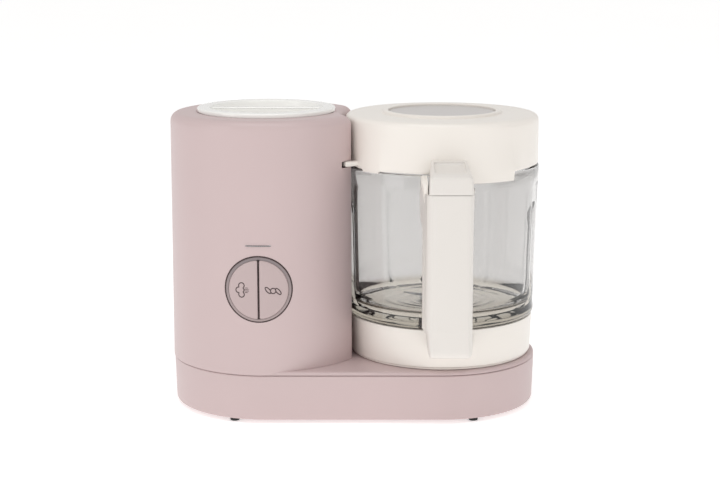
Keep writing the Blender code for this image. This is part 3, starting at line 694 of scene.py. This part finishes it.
def soften_tower_normals(mesh):
    """Corner normals square to the round wall, so that the cut holes leave no flat-looking patches."""
    normals = []
    floor = (DECK_TOP + RAISED + 24) * MM
    roof = (TOWER_TOP + RAISED - TOWER_FILLET - 1) * MM
    for face in mesh.polygons:
        for index in face.loop_indices:
            spot = mesh.vertices[mesh.loops[index].vertex_index].co
            wall = Vector((spot.x - TOWER[0] * MM, spot.y - TOWER[1] * MM, 0)).normalized()
            round_wall = floor < spot.z < roof and face.normal.dot(wall) > 0.985
            normals.append(wall if round_wall else mesh.corner_normals[index].vector.copy())
    mesh.normals_split_custom_set(normals)


def tower():
    """The shell with its panel hole, steam port, gland hole and tab notch, the line and the gland."""
    shell = polar("tower_wall", TOWER, tower_angles(), tower_profile, loop=True)
    nozzle = centre("steam_nozzle")
    gland = centre("cable_gland")
    shell = carved(shell, drum(BEZEL_R - 0.25, 40, (PANEL_X, TOWER[1] - 65, PANEL_Z), "Y"),
                   drum(4.3, 12, (JUG[0] - CRADLE_R - 1, nozzle[1], nozzle[2]), "X", 48),
                   drum(5.4, 30, (gland[0], gland[1] - 4, gland[2]), "Y", 48),
                   round_jug(rounded_block("notch", (14, 16, 5.1), 0.5), NOTCH_R, NOTCH_ANGLE, NOTCH_Z))
    piece = show(shell, "base", PINK, ["tower_shell"], name="tower_wall")
    soften_tower_normals(piece.data)
    line()
    cord_gland()


def cord_gland():
    """The rubber collar in the tower's back, turned about Z and laid along Y."""
    x, _, z = centre("cable_gland")
    reach = 4
    collar = lathe("cord_gland", (0, 0), [
        (3.2, reach, 0.2), (7.6, reach, 0.9), (8.0, 1.0, 0.6), (5.2, 1.0, 0.2), (5.2, -9, 0.3),
        (3.2, -9, 0.2)], 48, loop=True)
    collar.transform(Matrix.Rotation(-math.pi / 2, 4, "X"))
    placed(collar, (x, high("cable_gland")[1] - reach, z))
    show(collar, "base", RUBBER, ["cable_gland"])


def line():
    """The short metal line set into the tower above the panel, bent to the wall."""
    left, right = low("trim_line")[0] - 1.0, high("trim_line")[0] + 0.2
    z = centre("trim_line")[2] + 0.3
    steps = 24
    rings = []
    for k in range(steps + 1):
        x = left + (right - left) * k / steps
        half = 0.28 if k in (0, steps) else 0.5
        y = on_tower(x, z, LINE_FACE)[1]
        rings.append([(x, y + 0.5, z - half), (x, y - 0.1, z - half), (x, y - 0.3, z - half * 0.5),
                      (x, y - 0.3, z + half * 0.5), (x, y - 0.1, z + half), (x, y + 0.5, z + half)])
    show(skin("metal_line", rings), "base", LINE_STEEL, ["trim_line"])


# Control panel

def on_tower(x, z, radius):
    """The point at x, z on the front of a drum about the tower's axis."""
    return (x, TOWER[1] - math.sqrt(radius ** 2 - (x - TOWER[0]) ** 2), z)


def half_disc(side, radius, gap, count=40):
    """A half disc with small round corners beside the divider."""
    edge = 1.2
    reach = math.degrees(math.acos((gap + edge) / (radius - edge)))
    points = []
    corner = ((radius - edge) * math.cos(math.radians(-reach)),
              (radius - edge) * math.sin(math.radians(-reach)))
    for k in range(7):
        a = math.radians(-180 + k * (180 - reach) / 6 * 0.999)
        points.append((corner[0] + edge * math.cos(a), corner[1] + edge * math.sin(a)))
    for k in range(count + 1):
        a = math.radians(-reach + 2 * reach * k / count)
        points.append((radius * math.cos(a), radius * math.sin(a)))
    points += [(u, -v) for u, v in reversed(points[:7])]
    return [(side * u, v) for u, v in points]


def button(side, word):
    """One half-round button, flat-faced round the tower's axis, with a soft rim."""
    outline = half_disc(side, BUTTON_R, BUTTON_GAP)
    middle = side * BUTTON_R * 0.46
    rings = []
    rim = [(1.0, 3.4), (1.0, 1.0), (0.995, 0.5), (0.975, 0.16)]
    for share, sink in rim + [(share, 0.0) for share in (0.94, 0.8, 0.6, 0.4, 0.2, 0.02)]:
        ring = []
        for u, v in outline:
            x = PANEL_X + middle + (u - middle) * share
            z = PANEL_Z - BUTTON_DROP + v * share
            ring.append(on_tower(x, z, BUTTON_FACE - sink))
        rings.append(ring)
    show(skin(f"button_{word}_cap", rings), f"{word}_button", PINK_BUTTON,
         [f"button_{word}"])


def bezel():
    """The panel's fixed parts: a dark metal ring, a chamfer, an upright divider and the well behind."""
    ring_in = BEZEL_R - 1.1
    section = eased([(BEZEL_R, -2.0, 0), (BEZEL_R, 0.35, 0.5), (ring_in, 0.35, 0.3), (ring_in, -2.0, 0)],
                    4, closed=True)
    rim = panel_rings([(r, PANEL_FACE + lift, 0.0) for r, lift in section])
    show(skin("bezel_ring", rim, loop=True), "base", GUNMETAL, ["bezel"])
    panel_chamfer()
    divider()
    well = panel_rings([(BUTTON_R + 1.2, WELL_FACE - depth, 0.0) for depth in (0.0, 1.2)], 64)
    show(skin("panel_well", well), "base", DARK)


def panel_chamfer():
    """The ring that falls away from the bezel to the buttons, which sit a little lower."""
    inner = BUTTON_R + 0.12
    section = [(BEZEL_R - 1.0, 0.15, 0.0), (inner + 0.1, -0.1, 1.0), (inner, -0.4, 1.0), (inner, -3.6, 1.0),
               (BEZEL_R - 1.0, -3.6, 0.0)]
    chamfer = panel_rings([(r, PANEL_FACE + lift, -BUTTON_DROP * drop) for r, lift, drop in section])
    # The chamfer's colour is painted shade, darker towards its top.
    show(skin("bezel_chamfer", chamfer, loop=True), "base", PINK_PAINTED_SHADE)


def divider():
    """The upright bar between the buttons, bent to the tower's wall."""
    half = 0.4
    reach = BUTTON_R + 0.2
    steps = 32
    rings = []
    for k in range(steps + 1):
        z = PANEL_Z - reach + 2 * reach * k / steps
        front = on_tower(PANEL_X, z, DIVIDER_FACE)[1]
        rings.append([(PANEL_X - half, front + 4, z), (PANEL_X - half, front + 0.2, z),
                      (PANEL_X - half * 0.5, front, z), (PANEL_X + half * 0.5, front, z),
                      (PANEL_X + half, front + 0.2, z), (PANEL_X + half, front + 4, z)])
    show(skin("panel_divider", rings), "base", GUNMETAL)


def panel_rings(section, count=128):
    """Rings about the panel's centre, from (radius, face, drop), each on a drum about the tower's axis."""
    return [[on_tower(PANEL_X + r * math.cos(a), PANEL_Z + drop + r * math.sin(a), face)
             for a in even_angles(count)] for r, face, drop in section]


def ink_line(name, points, side, closed=False, thick=0.44):
    """A printed line on a button's face, through points given about the panel's centre."""
    curve = bpy.data.curves.new(name, "CURVE")
    curve.dimensions = "3D"
    curve.bevel_depth = thick * MM
    curve.bevel_resolution = 1
    curve.use_fill_caps = True
    spline = curve.splines.new("POLY")
    spline.points.add(len(points) - 1)
    for spot, (u, v) in zip(spline.points, points):
        place = on_tower(PANEL_X + u, PANEL_Z + v, ICON_FACE)
        spot.co = (*[value * MM for value in place], 1)
    spline.use_cyclic_u = closed
    holder = added(name, curve)
    graph = bpy.context.evaluated_depsgraph_get()
    mesh = bpy.data.meshes.new_from_object(holder.evaluated_get(graph))
    bpy.data.objects.remove(holder, do_unlink=True)
    mesh.name = name
    word = "left" if side < 0 else "right"
    show(mesh, f"{word}_button", INK)


def lobed(middle, lobes, count=72):
    """The outer line of overlapping round lobes (u, v, radius), seen from a point inside them."""
    points = []
    for angle in even_angles(count):
        way = Vector((math.cos(angle), math.sin(angle)))
        reach = 0.0
        for u, v, radius in lobes:
            offset = Vector((u - middle[0], v - middle[1]))
            along = offset.dot(way)
            spread = radius ** 2 - (offset.length_squared - along ** 2)
            if spread > 0:
                reach = max(reach, along + math.sqrt(spread))
        points.append((middle[0] + reach * way.x, middle[1] + reach * way.y))
    return points


def icons():
    """General signs for steam, a small cloud with short waves, and for blending, a two-leaf rotor."""
    cloud = lobed((-13.0, -0.5), [(-12.6, 2.9, 2.1), (-14.7, -0.5, 2.1), (-12.6, -3.9, 2.1),
                                  (-12.6, -0.5, 1.9)])
    ink_line("steam_cloud", cloud, -1, closed=True)
    for row in range(4):
        length = 2.6 if row in (0, 3) else 3.2
        wave = [(-10.3 + length * k / 14, 1.1 - 1.15 * row + 0.16 * math.sin(k * 0.95)) for k in range(15)]
        ink_line(f"steam_wave_{row}", wave, -1, thick=0.3)
    hub_u, hub_v, hub_r = 10.9, -1.0, 2.0
    ink_line("rotor_hub_sign", [(hub_u + hub_r * math.cos(a), hub_v + hub_r * math.sin(a))
                                for a in even_angles(28)], 1, closed=True)
    lean = math.radians(-50)
    for way in (-1, 1):
        leaf = []
        for a in even_angles(30):
            along = 2.9 * math.cos(a)
            across = 1.25 * math.sin(a)
            u = hub_u + way * 3.75 + along * math.cos(lean) - across * math.sin(lean)
            v = hub_v - way * 0.5 + along * math.sin(lean) + across * math.cos(lean)
            leaf.append((u, v))
        leaf = [point for point in leaf if math.dist(point, (hub_u, hub_v)) > hub_r]
        first = max(range(len(leaf)), key=lambda i: math.dist(leaf[i], leaf[i - 1]))
        ink_line(f"rotor_leaf_sign_{way + 1}", leaf[first:] + leaf[:first], 1)


# Tank cap

def cap():
    """The tank's cap: a dished top inside a raised rim, with a finger bar across the dish."""
    rim = CAP_RIM
    dish = rim - 6.8
    skirt = rim - 14.1
    shell = lathe("cap_rim", TOWER, [
        (0, dish, 0), (41.5, dish, 2.5), (43.6, rim - 0.9, 0.7), (45.4, rim, 0.8), (49.5, rim, 3),
        (CAP_R, rim - 0.4, 1.9), (CAP_R, rim - 3.7, 0.5), (45.2, rim - 3.7, 0.4), (45.2, skirt, 0.6),
        (42.5, skirt, 0.6), (41.0, dish - 2.8, 1), (0, dish - 2.8, 0)], 160)
    show(shell, "cap", CAP_WHITE, ["cap_shell"])
    reach = 41.6
    bar_top = rim - 0.9
    outline = eased([(-reach, dish - 0.7, 0), (reach, dish - 0.7, 0), (reach, bar_top, 1.2),
                     (-reach, bar_top, 1.2)], 5, closed=True)
    bar = pillow("cap_finger_bar", outline, 3.0, 1.2)
    bar.transform(Matrix.Rotation(-math.pi / 2, 4, "Z"))
    placed(bar, (*TOWER, 0))
    show(bar, "cap", CAP_WHITE)


# Jug

def rib_bulge(angle, z):
    """How far the mixing ribs stand in from the glass wall."""
    if z > RIB_TOP:
        return 0.0
    height = RIB_DEPTH * min(1.0, (RIB_TOP - z) / 7) ** 0.5
    best = 0.0
    for number in range(RIB_COUNT):
        off = (math.degrees(angle) - RIB_FIRST - RIB_STEP * number + 180) % 360 - 180
        best = max(best, math.exp(-(off / RIB_SPREAD) ** 2))
    return height * best


def glass_profile(angle):
    """Neck, rim, outer wall, foot, underside, wavy floor and the ribbed inner wall of the bowl."""
    slope = (GLASS_R - GLASS_R_LOW) / (GLASS_RIM - GLASS_LOW)
    wall = GLASS_WALL

    def outer(z):
        return GLASS_R_LOW + slope * (z - GLASS_LOW)

    neck = GLASS_NECK
    column = [(neck - wall + 0.5, GLASS_TOP), (neck - 0.6, GLASS_TOP), (neck - 0.1, GLASS_TOP - 0.5),
              (neck, GLASS_TOP - 1.2), (neck, GLASS_RIM + 0.5), (neck + 0.5, GLASS_RIM),
              (GLASS_R - 1.6, GLASS_RIM), (GLASS_R - 0.5, GLASS_RIM - 0.35), (GLASS_R, GLASS_RIM - 1.4)]
    for z in (170, 150, 130, 110, 90):
        column.append((outer(z), z))
    column += [(outer(78) - 0.1, 78), (outer(74.5) + 0.5, 75.5), (outer(74) + 0.55, 73),
               (outer(72), 71.2), (outer(70) - 0.9, GLASS_LOW + 0.3), (outer(70) - 2.2, GLASS_LOW)]
    column += [(GLASS_HOLE_R, GLASS_LOW), (GLASS_HOLE_R, GLASS_FLOOR - 0.1)]
    for r in range(16, 59, 2):
        ripple = math.sin(r * 0.62 + 1.7 * math.cos(2 * angle + 0.6))
        column.append((r, GLASS_FLOOR + max(r - 50, 0) * 0.11 + 0.14 * ripple))
    for z in (76.6, 78, 80, 83, 87, 92, 100, 110, 120, 130, 140, 148, 152, 154.5, 156, 157, 160, 172, 183):
        corner = max(0.0, (90 - z) / 14) ** 2.2 * 9
        column.append((outer(z) - wall - corner - rib_bulge(angle, z), z))
    column.append((neck - wall, 188))
    column.append((neck - wall, GLASS_TOP - 0.6))
    return column


def jug():
    """The bowl, the ring and plate under it, its foot, the handle and the blade unit."""
    ribs = []
    for number in range(RIB_COUNT):
        ribs += [math.radians((RIB_FIRST + RIB_STEP * number + off) % 360) for off in range(-5, 6) if off]
    angles = sorted(set([round(a, 5) for a in even_angles(144) + ribs]))
    bowl = polar("glass_jug", JUG, angles, glass_profile, loop=True)
    show(bowl, "jug", GLASS, ["glass_bowl"], angle=50)
    ring = lathe("jug_ring", JUG, [
        (14, RING_TOP, 0.3), (RING_R, RING_TOP, 0.8), (RING_R_LOW + 0.1, RING_LOW, 0.5),
        (67.8, RING_LOW, 0.4), (68.4, 66.0, 1), (14, 66.0, 0.3)], 160, loop=True)
    show(ring, "jug", CREAM, ["bowl_ring"])
    plate_low = RING_TOP + 0.02
    plate_top = RING_TOP + 0.2
    # A thin plate on the ring's top that glows: painted light under the glass floor.
    plate = lathe("jug_floor_painted_glow", JUG, [
        (19, plate_low, 0), (66.5, plate_low, 0.1), (66.5, plate_top, 0.1), (19, plate_top, 0)],
        96, loop=True)
    show(plate, "jug", FLOOR_PAINTED_GLOW)
    foot_top = RING_LOW - 0.3
    foot_ring = lathe("jug_foot", JUG, [
        (67.4, foot_top, 0.2), (70.2, foot_top, 0.4), (69.8, FOOT_LOW, 0.5), (67.4, FOOT_LOW, 0.3)],
        128, loop=True)
    show(foot_ring, "jug_carrier", CREAM, ["bowl_foot"])
    handle()
    blades()


def handle_outline():
    """The handle from its right side, a bar joined to the bowl above and below the finger gap."""
    front = HANDLE_FRONT
    back = front + 14.0
    top = HANDLE_TOP + 12
    return eased([(HANDLE_ROOT, top, 0), (front, top, 0), (front, 96, 0), (front + 0.2, 78, 20),
                  (front + 3.0, HANDLE_BOTTOM, 9.0), (HANDLE_ROOT, HANDLE_BOTTOM, 0),
                  (HANDLE_ROOT, HANDLE_GAP_LOW, 0), (back, HANDLE_GAP_LOW, 9.0),
                  (back, HANDLE_GAP_TOP, 9.0), (HANDLE_ROOT, HANDLE_GAP_TOP, 0)], 8, closed=True)


def seat_cutter():
    """The space of the glass and of the ring, with a hair of clearance."""
    return lathe("seat", JUG, [
        (0, 240, 0), (GLASS_R + 0.35, 240, 0), (GLASS_R + 0.35, 70, 0), (72.35, 69.9, 0), (72.35, 30, 0),
        (0, 30, 0)], 160)


def handle():
    """The bar, cut to the bowl and under the thumb lug, with a pocket for the cover in its back."""
    bar = tapered(pillow("handle_bar", handle_outline(), HANDLE_HALF, 4.6), HANDLE_X)
    x, y, z = centre("handle_cover")
    above = rounded_block("above", (80, 80, 40), 0.1, 1)
    placed(above, (HANDLE_X, HANDLE_FRONT + 20, HANDLE_TOP + 20))
    pocket = placed(rounded_block("pocket", (25, 9, 62), 0.8), (x, y - 2.6, z))
    bar = carved(bar, seat_cutter(), above, pocket)
    show(bar, "jug", SHADED_HANDLE_CREAM, ["handle"])
    handle_cheek()
    grip_cover()


def handle_cheek():
    """The strip of the handle that runs up beside the thumb lug to the lid's edge."""
    top = LID_EDGE - 0.4
    foot_z = HANDLE_TOP - 8
    side_view = eased([(HANDLE_ROOT - 2, foot_z, 0), (HANDLE_ROOT - 2, top, 0), (AXIS_Y - 93, top, 4),
                       (AXIS_Y - 99.5, 184, 4), (AXIS_Y - 101, foot_z, 0)], 6, closed=True)
    cheek = tapered(pillow("handle_cheek", side_view, CHEEK_HALF, 2.2), HANDLE_X)
    beside = rounded_block("beside", (60, 90, 60), 0.1, 1)
    placed(beside, (HANDLE_X - LUG_LEFT_SIDE - 0.45 + 30, AXIS_Y - 85, 180))
    show(carved(cheek, beside, seat_cutter()), "jug", CREAM)


def grip_cover():
    """The cover on the handle's back, with its two screws."""
    x, y, z = centre("handle_cover")
    cover = placed(rounded_block("grip_back_cover", (24.4, 2.0, 61.4), 0.6), (x, y, z))
    for word in ("upper", "lower"):
        sx, _, sz = centre(f"handle_screw_{word}")
        cover = carved(cover, drum(3.3, 8, (sx, y, sz), "Y", 40))
        screw = screw_head(f"grip_screw_{word}", 3.0, 4.0)
        screw.transform(Matrix.Rotation(-math.pi / 2, 4, "X"))
        placed(screw, (sx, y + 0.5, sz))
        show(screw, "jug", STEEL, [f"handle_screw_{word}"])
    show(cover, "jug", SHADED_HANDLE_CREAM, ["handle_cover"])


def screw_head(name, radius, length):
    """A screw whose head faces +Z at the origin, with a cross recess."""
    head = lathe(name, (0, 0), [
        (0, 0, 0), (radius - 0.5, -0.1, 0.4), (radius, -0.9, 0.3), (radius, -1.8, 0.2),
        (radius * 0.5, -1.9, 0.1), (radius * 0.5, -length, 0.3), (0, -length, 0)], 40)
    for turn in (0, 90):
        slot = placed(rounded_block("slot", (radius * 1.25, radius * 0.26, 1.6), 0.1, 1), (0, 0, 0), turn)
        head = carved(head, slot)
    head.name = name
    return head


def base_screws():
    """The four screws, driven up into the tub."""
    for number in range(1, 5):
        x, y, _ = centre(f"base_screw_{number}")
        bottom = low(f"base_screw_{number}")[2]
        screw = screw_head(f"tub_screw_{number}", 3.0, 20.0)
        screw.transform(Matrix.Rotation(math.pi, 4, "X"))
        show(placed(screw, (x, y, bottom)), "base", STEEL, [f"base_screw_{number}"])


def blades():
    """The steel bush in the floor, the turning sleeve with its dark knob, and two crossed blades."""
    bush_low, bush_top = heights("blade_bush")
    bush = lathe("floor_bush", JUG, [
        (3.5, bush_top, 0.3), (12.5, bush_top, 1.5), (16, 77.6, 0.6), (16, 76.6, 0.3), (12, 76.6, 0.2),
        (12, bush_low, 0.5), (3.5, bush_low, 0.3)], 96, loop=True)
    show(bush, "jug", STEEL, ["blade_bush"])
    hub_low, hub_top = heights("blade_hub")
    hub = lathe("blade_sleeve", JUG, [
        (3.3, hub_top, 0.2), (4.7, hub_top, 0.4), (5.0, hub_low + 3, 1), (5.0, hub_low, 0.4),
        (3.3, hub_low, 0.2)], 64, loop=True)
    show(hub, "blade", GREY, ["blade_hub"])
    cap_low, cap_top = heights("blade_cap")
    knob = lathe("blade_knob", JUG, [
        (0, cap_top, 0), (4.2, cap_top, 2.2), (6.3, cap_low + 3, 1.6), (7.3, cap_low, 0.7),
        (0, cap_low, 0)], 64)
    show(knob, "blade", DARK, ["blade_cap"])
    for word, turn in (("lower", 20), ("upper", 110)):
        blade(word, turn)


def blade(word, turn):
    """A two-ended blade whose tips curl, thin at its cutting edge."""
    z = centre(f"blade_{word}")[2]
    reach = BLADE_REACH
    lift = 3.4 if word == "upper" else 4.2
    steps = 48
    rings = []
    for k in range(steps + 1):
        out = -reach + 2 * reach * k / steps
        share = abs(out) / reach
        way = 1 if out >= 0 else -1
        half = max(BLADE_HALF * (1 - 0.2 * share) * (1 - share ** 7), 0.35)
        middle = way * 2.4 * share ** 2
        rise = lift * max(0.0, share - 0.35) ** 1.5 * 1.9
        spine = middle - way * half * 0.55
        edge_a, edge_b = middle - half, middle + half
        rings.append([(out, edge_a, rise), (out, spine, rise - 0.55), (out, edge_b, rise - 0.12),
                      (out, edge_b, rise + 0.12), (out, spine, rise + 0.55), (out, edge_a, rise + 0.1)])
    mesh = skin(f"cutting_blade_{word}", rings)
    placed(mesh, (*JUG, z), turn)
    mesh = carved(mesh, drum(5.2, 10, (*JUG, z), steps=64))
    show(mesh, "blade", SHADED_BLADE_STEEL, [f"blade_{word}"], name=f"cutting_blade_{word}")


# Lid

# Each lug's first and last angle in degrees, and its lower edge
LUGS = ((217.0, 229.5, 185.9), (284.0, 312.0, 180.8))
FLARE = 2.4
FLARE_TOP = 214.0
FLARE_FEATHER = 14.0


def lug_share(angle):
    """(share, flare, lower edge) at an angle: share is 1 on a lug, flare swells gently towards it."""
    here = math.degrees(angle) % 360
    best = (0.0, 0.0, LID_EDGE)
    for start, end, bottom in LUGS:
        inside = min(here - start, end - here)
        share = min(max(inside / 0.5 + 0.5, 0.0), 1.0)
        swell = min(max(inside / FLARE_FEATHER + 1, 0.0), 1.0)
        swell = swell * swell * (3 - 2 * swell)
        if swell > best[1]:
            best = (share, swell, bottom if share > 0 else LID_EDGE)
    return best


def lid_profile(angle):
    """Bead, top, rounded shoulder, wall, lower edge and inner faces of the lid."""
    share, swell, bottom = lug_share(angle)
    edge = LID_EDGE + (bottom - LID_EDGE) * share
    bead = LID_FACE + 1.8
    column = eased([(LID_BORE, LID_FACE - 3, 0), (LID_BORE, bead, 0.9), (45.2, bead, 1.4),
                    (46.0, LID_FACE - 0.5, 0.5), (48.0, LID_FACE, 0.8), (60, LID_FACE, 3),
                    (LID_R, LID_FACE - 0.6, 9.0), (LID_R, FLARE_TOP, 0)], 8)

    def wall(z):
        fall = min((FLARE_TOP - z) / (FLARE_TOP - LID_EDGE), 1.0)
        return LID_R + FLARE * swell * fall ** 1.5

    column += [(wall(z), z) for z in (209, 204, 199, 194, 190)]
    last = wall(LID_EDGE)
    inner = mix(LID_IN + 0.1, GLASS_R + 0.45, share)
    column += [(last, edge + 0.7), (last - 0.15, edge + 0.2), (last - 0.6, edge), (inner, edge),
               (inner, LID_EDGE + 0.05), (LID_IN, LID_EDGE + 0.1)]
    column += [(LID_IN - 0.1, 205), (LID_IN - 0.3, 217), (69, 222), (44.2, 222.6), (43.8, 221.5),
               (43.8, 208.6), (43.3, 208), (42.0, 208), (LID_BORE, 208.6)]
    return column


def lid():
    """The cover with its steam port, the tab, the thumb lug and the grey centre."""
    ends = [edge for start, end, _ in LUGS for edge in (start, end)]
    extra = [math.radians(edge + 0.125 * k) for edge in ends for k in range(-3, 4)]
    angles = sorted(set([round(a, 5) for a in even_angles(144) + extra]))
    shell = polar("lid_cover", JUG, angles, lid_profile, loop=True)
    nozzle = centre("steam_nozzle")
    shell = carved(shell, drum(4.5, 12, (JUG[0] - LID_R, AXIS_Y, nozzle[2]), "X", 48))
    show(shell, "lid", CREAM, ["lid_shell"], name="lid_cover")
    tab = round_jug(rounded_block("lid_tab_piece", (14.4, 7.0, 3.6), 1.1), TAB_R, TAB_ANGLE, TAB_Z)
    show(tab, "lid", CREAM)
    thumb_lug()
    grey_centre()


def grey_centre():
    """The plug that closes the lid's filler throat."""
    plug_top = high("filler_plug")[2]
    neck = PLUG_R - 4.5
    plug = lathe("filler_centre", JUG, [
        (0, plug_top, 0), (PLUG_R, plug_top, 0.7), (PLUG_R, 221.8, 0.3), (neck, 221.8, 0.5),
        (neck, 206, 0.6), (neck - 2.5, 206, 0.6), (neck - 2.5, 222.0, 1.5), (0, 222.0, 0)], 128)
    show(plug, "plug", GREY, ["filler_plug"])


def thumb_lug():
    """The lid's lug over the handle, hollowed on top for the thumb."""
    front = HANDLE_FRONT
    outline = eased([(HANDLE_ROOT - 1, 199.2, 0), (AXIS_Y - 76, 198.4, 6), (front + 4.0, 193.0, 3),
                     (front, 190.0, 2.5), (front, LUG_BOTTOM - 8, 0), (HANDLE_ROOT - 1, LUG_BOTTOM - 8, 0)],
                    8, closed=True)
    lever = tapered(pillow("thumb_lever", outline, HANDLE_HALF, 2.6), HANDLE_X, drafted=True)
    below = placed(rounded_block("below", (80, 80, 40), 0.1, 1), (HANDLE_X, front + 20, LUG_BOTTOM - 20))
    seat = lathe("lug_seat", JUG, [
        (0, 240, 0), (73.6, 240, 0), (73.6, LID_EDGE + 0.1, 0), (GLASS_R + 0.6, LID_EDGE, 0),
        (GLASS_R + 0.6, 150, 0), (0, 150, 0)], 160)
    hollow = rounded_block("thumb_hollow", (23.0, 23, 8), 2.0, 5)
    hollow = placed(hollow, (HANDLE_X + 0.8, AXIS_Y - 90.5, 197.7), 0, 12.0)
    show(carved(lever, below, seat, hollow), "lid", SHADED_HANDLE_CREAM, name="thumb_lever")


# Stage

def floor_look():
    """A white sheet lit evenly enough to read as plain white."""
    look, tree, shader = nodes_of("white_sheet")
    tint = blend_colours(tree, noise(tree, 3.0, 2.0), (0.93, 0.93, 0.93), (0.95, 0.95, 0.95))
    tree.links.new(tint, shader.inputs["Base Color"])
    tune(shader, {"Roughness": 1.0, "Specular IOR Level": 0.0, "Emission Color": (1, 1, 1, 1),
                  "Emission Strength": 0.42})
    return look


def stage():
    """A wide round white sheet whose top is the floor."""
    reach = 30000
    sheet = skin("floor", [[(reach * math.cos(a), reach * math.sin(a), z) for a in even_angles(64)]
                           for z in (-20.0, 0.0)])
    piece = added("floor", sheet)
    sheet.materials.append(floor_look())


def lamp(name, place, target, size, power):
    """A soft rectangular lamp aimed at a target, in metres and watts."""
    data = bpy.data.lights.new(name, "AREA")
    data.shape = "RECTANGLE"
    data.size, data.size_y = size
    data.energy = power
    holder = added(name, data)
    holder.location = place
    aim = Vector(target) - Vector(place)
    holder.rotation_euler = aim.to_track_quat("-Z", "Y").to_euler()


def worked(tree, operation, *values):
    """A number worked out from one or two others."""
    node = tree.nodes.new("ShaderNodeMath")
    node.operation = operation
    for socket, value in zip(node.inputs, values):
        tree.links.new(value, socket)
    return node.outputs["Value"]


def room():
    """A pale room, brightest low down, with a dark card far out on each side."""
    world = bpy.data.worlds.new("pale_room")
    world.use_nodes = True
    bpy.context.scene.world = world
    tree = world.node_tree
    background = tree.nodes["Background"]
    fall = ramp(tree, axis_place(tree, "Z", "Generated"), 0.0, 1.0, 0.80, 0.54)
    side = worked(tree, "ABSOLUTE", axis_place(tree, "X", "Generated"))
    card = ramp(tree, side, 0.90, 0.97, 1.0, 0.12)
    tree.links.new(worked(tree, "MULTIPLY", fall, card), background.inputs["Strength"])
    background.inputs["Color"].default_value = (1.0, 0.99, 0.98, 1)


def light():
    """The room, a wide soft lamp on each side of the camera, and a long one above."""
    room()
    target = (0, AXIS_Y * MM, 0.12)
    lamp("left_lamp", (-2.0, -1.15, 0.85), target, (1.2, 1.4), 6)
    lamp("right_lamp", (1.6, -1.6, 0.6), target, (1.0, 1.0), 2)
    lamp("top_lamp", (-0.1, -0.46, 1.9), target, (1.6, 0.4), 9)


def camera():
    """The camera in front of the object, a little right of its middle, looking slightly down."""
    x, distance, height, tilt = 4.53, 1227.7, 368.9 + RAISED, 11.266
    data = bpy.data.cameras.new("camera")
    data.lens = 79.75
    data.sensor_width = 36
    data.clip_end = 100
    eye = added("camera", data)
    eye.location = [value * MM for value in (x, AXIS_Y - distance, height)]
    eye.rotation_euler = (math.radians(90 - tilt), 0, 0)
    bpy.context.scene.camera = eye
    bpy.context.scene.view_settings.view_transform = "Standard"


dress_cad_nodes()
base()
base_screws()
tower()
bezel()
button(-1, "left")
button(1, "right")
icons()
cap()
jug()
lid()
stage()
light()
camera()
